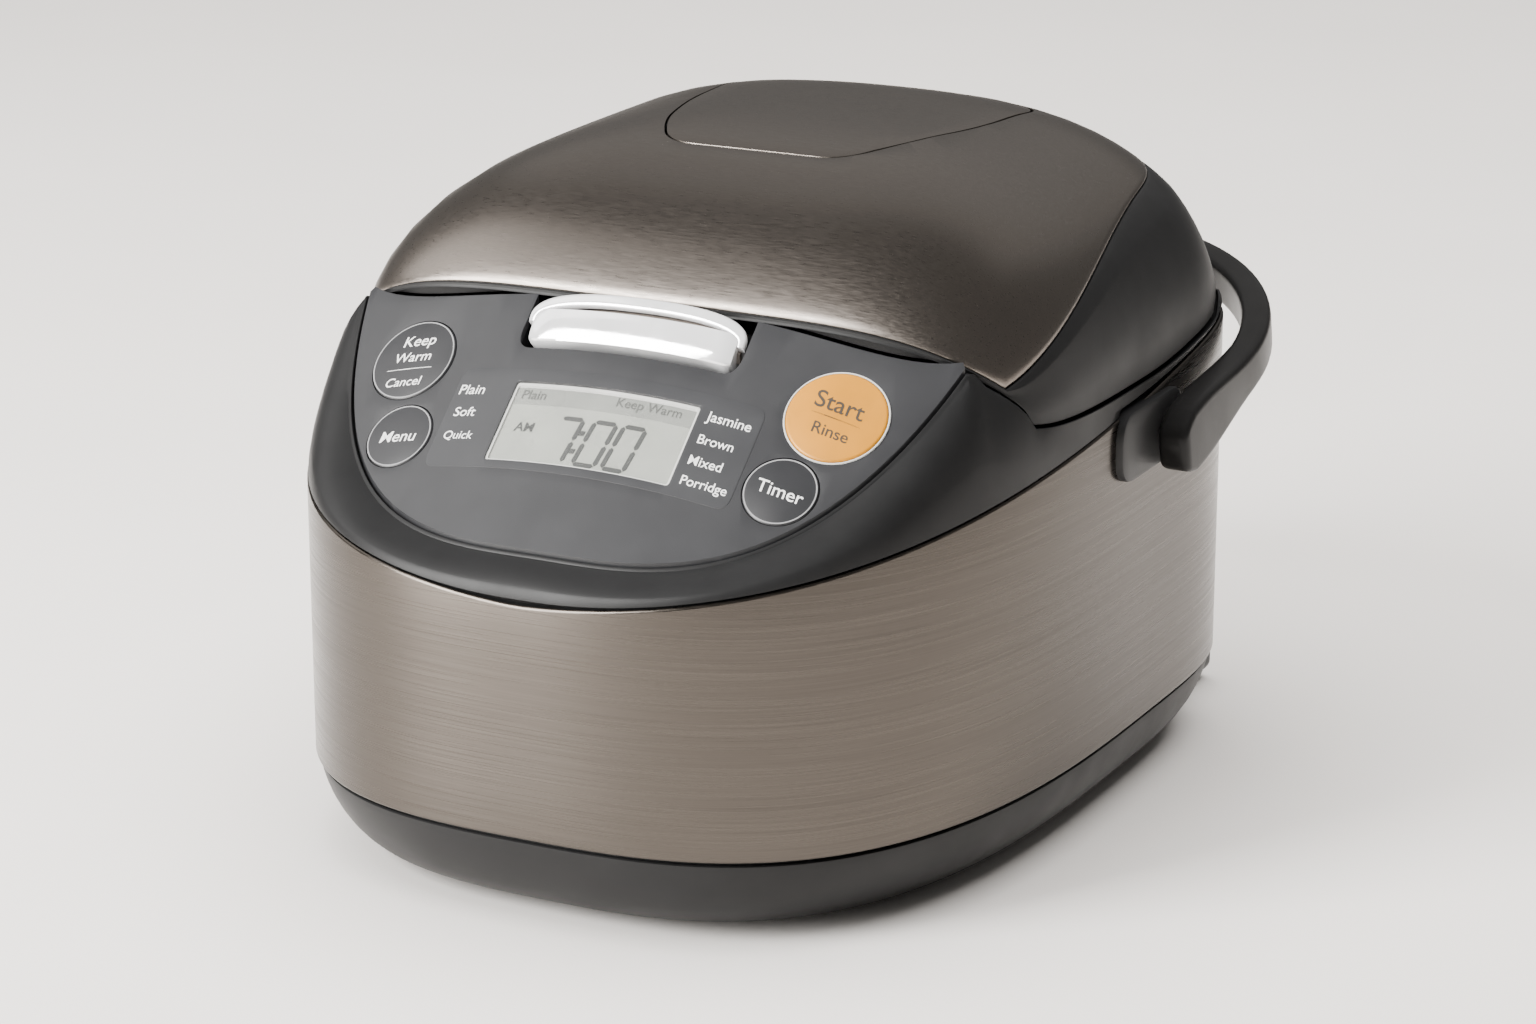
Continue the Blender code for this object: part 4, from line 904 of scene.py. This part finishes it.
def build_keys(look):
    """Four round keys: a soft crowned cap, and a fine printed ring on the grey ones."""
    for name, (x, y, radius) in KEYS.items():
        gold = name == "start_button"
        crown = 0.9 if gold else 0.42
        profile = [(radius, -3.0), (radius, crown - 0.75), (radius - 0.12, crown - 0.4),
                   (radius - 0.4, crown - 0.14), (radius - 0.85, crown)]
        cap = loft_mesh(name + "_cap", disc_rings(x, y, profile))
        add_piece(name + "_cap", cap, look["gold" if gold else "key"], name, [name])
        collar = [(radius + 0.15, -1.2), (radius + 0.15, 0.28), (radius + 0.3, 0.4), (radius + 0.55, 0.4),
                  (radius + 0.75, 0.15), (radius + 0.75, -1.2)]
        if gold:
            rim = loft_mesh("start_ring", disc_rings(x, y, collar), closed=True)
            add_piece("start_ring", rim, look["bezel"], "body")
        else:
            ring = [(radius - 0.5, crown - 0.25), (radius - 0.5, crown + 0.02), (radius - 0.65, crown + 0.06),
                    (radius - 0.8, crown + 0.06), (radius - 0.95, crown + 0.02),
                    (radius - 0.95, crown - 0.25)]
            ring = loft_mesh(name + "_ring", disc_rings(x, y, ring), closed=True)
            add_piece(name + "_ring", ring, look["ring"], name)


def build_printing(look):
    lettering("panel_words", [
        ("Plain", -50.2, -146.2, 9.6), ("Soft", -49.3, -152.9, 8.0), ("Quick", -47.9, -160.1, 11.0),
        ("Jasmine", 45.6, -146.1, 16.2), ("Brown", 44.2, -152.3, 12.8), ("Mixed", 43.6, -158.4, 12.0),
        ("Porridge", 46.0, -164.6, 16.6)], look["print"], "body", 0.26)
    lettering("keep_warm_words", [("Keep", -79.8, -130.4, 12.4), ("Warm", -80.0, -134.9, 14.4),
                                  ("Cancel", -79.4, -142.6, 13.6)], look["print"], "keep_warm_button", 0.5)
    rule("keep_warm_rule", -79.4, -138.6, 21, look["print"], "keep_warm_button", 0.5)
    lettering("menu_words", [("Menu", -71.1, -159.8, 13.4)], look["print"], "menu_button", 0.5)
    lettering("timer_words", [("Timer", 71.1, -159.6, 16.4)], look["print"], "timer_button", 0.5)
    lettering("start_words", [("Start", 79.2, -132.4, 17.2), ("Rinse", 79.4, -140.2, 12.6)], look["ink"],
              "start_button", 0.96)
    rule("start_rule", 79.4, -136.4, 25, look["ink"], "start_button", 0.98)
    lettering("display_words", [("AM", -25.2, -156.4, 7.0)], look["lcd_ink"], "body", -0.75)
    lettering("display_ghosts", [("Plain", -26.5, -146.9, 9.0), ("Keep Warm", 16.5, -146.9, 24)],
              look["lcd_ghost"], "body", -0.7)


# ---------------------------------------------------------------- latch

def build_latch(look):
    """Chrome release plate, the arch over it, and the brown pocket between them."""
    face = []
    for row in range(13):
        share = row / 12
        y = -131.2 + 8.4 * share
        lift = 1.6 + 1.3 * math.sin(share * math.pi * 0.5) - 0.9 * (1 - share) ** 6
        half = LATCH_X - 0.9 * (2 * abs(share - 0.5)) ** 8
        line = []
        for column in range(33):
            across = 2 * column / 32 - 1
            fall = 1.6 * abs(across) ** 16
            line.append(tuple(panel_spot(half * across, y, lift - fall)[0]))
        back = [tuple(panel_spot(half * (1 - 2 * column / 32), y, -7.0)[0]) for column in range(33)]
        face.append(line + back)
    add_piece("latch_plate", loft_mesh("latch_plate", face), look["chrome"], "latch_button", ["latch_button"],
              60)
    build_arch(look)


ARCH_POWER = 3.4


def arch_line(share):
    """Centre line of the arch over the plate, from its left foot to its right one, as (x, y, lift)."""
    across = 2 * share - 1
    turn = math.pi / 2 * across
    rise = math.cos(turn) ** (2 / ARCH_POWER)
    reach = math.copysign(abs(math.sin(turn)) ** (2 / ARCH_POWER), across)
    return 38.9 * reach, -125.4 + 6.4 * rise, 0.2 + 2.0 * rise


def build_arch(look):
    """Chrome ribbon over the plate, and the brown pocket between ribbon and plate."""
    rings = []
    steps = 72
    for step in range(steps + 1):
        x, y, lift = arch_line(step / steps)
        before, after = arch_line(max(step - 1, 0) / steps), arch_line(min(step + 1, steps) / steps)
        run = Vector((after[0] - before[0], (after[1] - before[1]) / math.cos(PANEL_TILT))).normalized()
        out = Vector((-run.y, run.x))
        middle = 1 - abs(2 * step / steps - 1) ** 4
        ring = []
        for across, up in rounded_outline([(-1, -1), (1, -1), (1, 1), (-1, 1)], 0.7, 4):
            wide, tall = (1.5 + 0.9 * middle) * across, 1.5 * up
            ring.append(tuple(panel_spot(x + out.x * wide, y + out.y * wide * math.cos(PANEL_TILT),
                                         lift - 0.9 + tall)[0]))
        rings.append(ring)
    add_piece("latch_arch", loft_mesh("latch_arch", rings), look["chrome"], "body", ["latch_trim"],
              50)
    outline = [arch_line(step / 32)[:2] for step in range(33)]
    pocket = panel_plate("latch_pocket", outline, -1.6, -4.0, (), 0)
    add_piece("latch_pocket", pocket, look["pocket"], "body")


# ---------------------------------------------------------------- lid

def lid_ring(share_of, depth):
    """A ring on the dome at the plan share that share_of gives for an angle."""
    return [dome_point(turn, share_of(turn), depth) for turn in LID_TURNS]


def skin_ring(share_out, depth):
    return lid_ring(lambda turn: SKIN_SHARES[turn] * share_out, depth)


def band_ring(share_down, depth):
    """A ring on the lid's plastic side band, from the skin's edge at 0 to the lid's edge at 1."""
    def share(turn):
        top, edge = SKIN_SHARES[turn], LID_EDGES[turn][0]
        return top + (edge - top) * share_down
    return lid_ring(share, depth)


def drop_ring(inset, height):
    """A ring just inside the lid's lower edge, which hangs below the panel's surface at the front."""
    ring = []
    for turn in LID_TURNS:
        share, edge_height = LID_EDGES[turn]
        radius = dome_radius(turn) * share - inset
        x, y = radius * math.cos(turn), DOME_CENTRE_Y + radius * math.sin(turn)
        if y < LIP_BACK_Y:
            edge_height = min(edge_height, panel_height(x, y) - LIP_DROP)
        ring.append((x, y, height(edge_height)))
    return ring


CAP_OUTLINE = [(-34, -40), (34, -40), (46, -18), (57, 22), (61, 72), (-61, 72), (-57, 22), (-46, -18)]


def cap_prism(inset):
    outline = [(x * (1 - inset / 50), 16 + (y - 16) * (1 - inset / 55)) for x, y in CAP_OUTLINE]
    return plan_prism("prism", rounded_outline(outline, 16, 12), 200, 250)


def build_lid(look):
    shares = [0.03, 0.1, 0.2, 0.3, 0.4, 0.5, 0.6, 0.7, 0.78, 0.86, 0.92, 0.96]
    under_shares = [0.1, 0.3, 0.5, 0.7, 0.86, 0.96]
    rings = [skin_ring(share, 2.2) for share in shares] + [skin_ring(0.992, 2.2), skin_ring(1.0, 1.8)]
    rings += [skin_ring(1.002, 0.6), band_ring(0.02, 0.25), band_ring(0.05, 0.1)]
    for share in (0.1, 0.18, 0.26, 0.32, 0.36, 0.4, 0.46, 0.56, 0.68, 0.8, 0.9, 0.96):
        crease = 0.55 * max(0.0, 1 - abs(share - 0.36) / 0.36)
        rings.append(band_ring(share, 0.05 - crease))
    rings += [band_ring(0.985, 0.15), drop_ring(0.5, lambda edge: edge + 0.1),
              drop_ring(1.0, lambda edge: edge),
              drop_ring(3.9, lambda edge: edge)]
    rings += [skin_ring(share, 5.0) for share in reversed(under_shares)]
    notch = rounded_box("notch", (0, 111, 172.5), (76, 40, 47), 0)
    shell = combined(loft_mesh("lid_body", rings), [notch, cap_prism(-0.5)])
    add_piece("lid_body", shell, look["charcoal"], "lid", ["lid_shell"], 40)

    rings = [skin_ring(share, 0) for share in shares]
    rings += [skin_ring(0.985, 0), skin_ring(0.993, 0.06), skin_ring(0.998, 0.3), skin_ring(0.9995, 0.7),
              skin_ring(0.9985, 1.1)]
    rings += [skin_ring(share, 0.9) for share in reversed(shares)]
    skin = combined(loft_mesh("lid_sheet", rings), [cap_prism(-0.5)], bevel=0.15)
    add_piece("lid_sheet", skin, look["skin"], "lid", ["lid_skin"], 50)

    sheet = [lid_ring(lambda turn, share=share: LID_EDGES[turn][0] * share, 0) for share in
             (0.02, 0.08, 0.15, 0.25, 0.35, 0.45, 0.55, 0.65, 0.8)]
    sheet += [lid_ring(lambda turn, share=share: LID_EDGES[turn][0] * share, 5.0) for share in
              (0.8, 0.6, 0.4, 0.2, 0.05)]
    cap = combined(cap_prism(0.35), [loft_mesh("sheet", sheet)], "INTERSECT")
    cap = combined(cap, [], bevel=0.6)
    add_piece("vent_cover", cap, look["skin"], "steam_cap", ["steam_cap"], 35)


# ---------------------------------------------------------------- handle and pivots

def handle_line():
    """Right half of the bail's centre line as (x, reach along the arm, half height)."""
    straight = HANDLE_REACH - HANDLE_CORNER
    line = []
    for step in range(9):
        turn = math.radians(80 * step / 8)
        line.append((HANDLE_X, -11.8 + 10.5 * math.sin(turn) ** 2 * 0.9 + step * 0.15,
                     3.2 + 8.8 * math.sin(turn) ** 0.8))
    for step in range(1, 9):
        share = step / 8
        line.append((HANDLE_X, share * straight, 12.0 - 4.2 * smooth_step(share, 0.1, 1.0)))
    for step in range(1, 25):
        turn = math.radians(90 * step / 24)
        line.append((HANDLE_X - HANDLE_CORNER * (1 - math.cos(turn)),
                     straight + HANDLE_CORNER * math.sin(turn), 7.6))
    for step in range(1, 7):
        share = step / 6
        line.append(((HANDLE_X - HANDLE_CORNER) * (1 - share),
                     HANDLE_REACH + 2.0 * math.sin(share * math.pi / 2), 7.6))
    return line


def build_handle(look):
    right = handle_line()
    line = right + [(-x, reach, half) for x, reach, half in right[-2::-1]]
    forward = Vector((0, math.cos(HANDLE_PITCH), math.sin(HANDLE_PITCH)))
    upward = Vector((0, -math.sin(HANDLE_PITCH), math.cos(HANDLE_PITCH)))
    pivot = Vector((0, HANDLE_Y, HANDLE_Z))
    rings = []
    for index, (x, reach, half) in enumerate(line):
        before, after = line[max(index - 1, 0)], line[min(index + 1, len(line) - 1)]
        run = Vector((after[0] - before[0], after[1] - before[1])).normalized()
        out = Vector((run.y, -run.x))
        wide = min(5.6, 2.2 + half * 0.42)
        section = rounded_outline([(-wide, -half), (wide, -half), (wide, half), (-wide, half)],
                                  min(3.0, half * 0.6, wide * 0.7), 6)
        ring = []
        for across, up in section:
            spot = Vector((x + out.x * across, 0, 0)) + forward * (reach + out.y * across) + upward * up
            ring.append(tuple(pivot + spot))
        rings.append(ring)
    add_piece("bail", loft_mesh("bail", rings), look["handle"], "handle", ["handle"], 40)


def build_pivots(look):
    """Oval bosses on the wall that carry the handle."""
    for side, name in ((-1, "left"), (1, "right")):
        rings = []
        for reach, inset in ((131.5, 0), (136.6, 0), (137.6, 0.25), (138.0, 1.0)):
            outline = rounded_outline([(-35 + inset, 123.5 + inset), (19 - inset, 123.5 + inset),
                                       (19 - inset, 148 - inset), (-35 + inset, 148 - inset)], 10, 10)
            rings.append([(side * reach, y, z) for y, z in outline])
        plate = loft_mesh("pivot_pad_" + name, rings)
        add_piece("pivot_pad_" + name, plate, look["dark"], "body", ["pivot_boss_" + name])


# ---------------------------------------------------------------- the rest of the frame

def repaint(look):
    """Give every frame node that still shows a detailed finish."""
    finishes = {
        "dark": ["power_inlet", "lid_liner", "steam_trap", "inner_case", "ferrite_holder", "fan_housing",
                 "fan_rotor"],
        "charcoal": ["hinge_post"],
        "lcd": ["lcd_module"],
        "rubber": ["foot_front_left", "foot_front_right", "foot_rear_left", "foot_rear_right"],
        "silicone": ["lid_seal"],
        "bright": ["base_screw_1", "base_screw_2", "base_screw_3", "base_screw_4", "hook_pivot",
                   "latch_spring", "latch_hook", "lid_catch", "lid_hinge_arms", "hinge_pin", "hinge_spring",
                   "sensor_spring"],
        "aluminium": ["lid_heater_plate", "inner_lid", "side_heater", "centre_sensor", "heat_sink"],
        "pot": ["inner_pot"],
        "copper": ["induction_coil"],
        "board": ["control_board", "power_board"],
    }
    for finish, names in finishes.items():
        for name in names:
            mesh = NODES[name].data
            mesh.materials.clear()
            mesh.materials.append(look[finish])


def build_floor(look):
    shape = bmesh.new()
    corners = [shape.verts.new((x, y, 0)) for x, y in ((-6, -6), (6, -6), (6, 9), (-6, 9))]
    shape.faces.new(corners)
    floor = bpy.data.objects.new("floor", finish_bmesh(shape, "floor"))
    floor.data.materials.append(look["floor"])
    bpy.context.collection.objects.link(floor)


def main():
    build_camera()
    build_light()
    look = build_materials()
    build_floor(look)
    build_base(look)
    build_wrap(look)
    build_outlet(look)
    build_collar(look)
    build_panel(look)
    build_display(look)
    build_keys(look)
    build_printing(look)
    build_latch(look)
    build_lid(look)
    build_handle(look)
    build_pivots(look)
    repaint(look)


main()
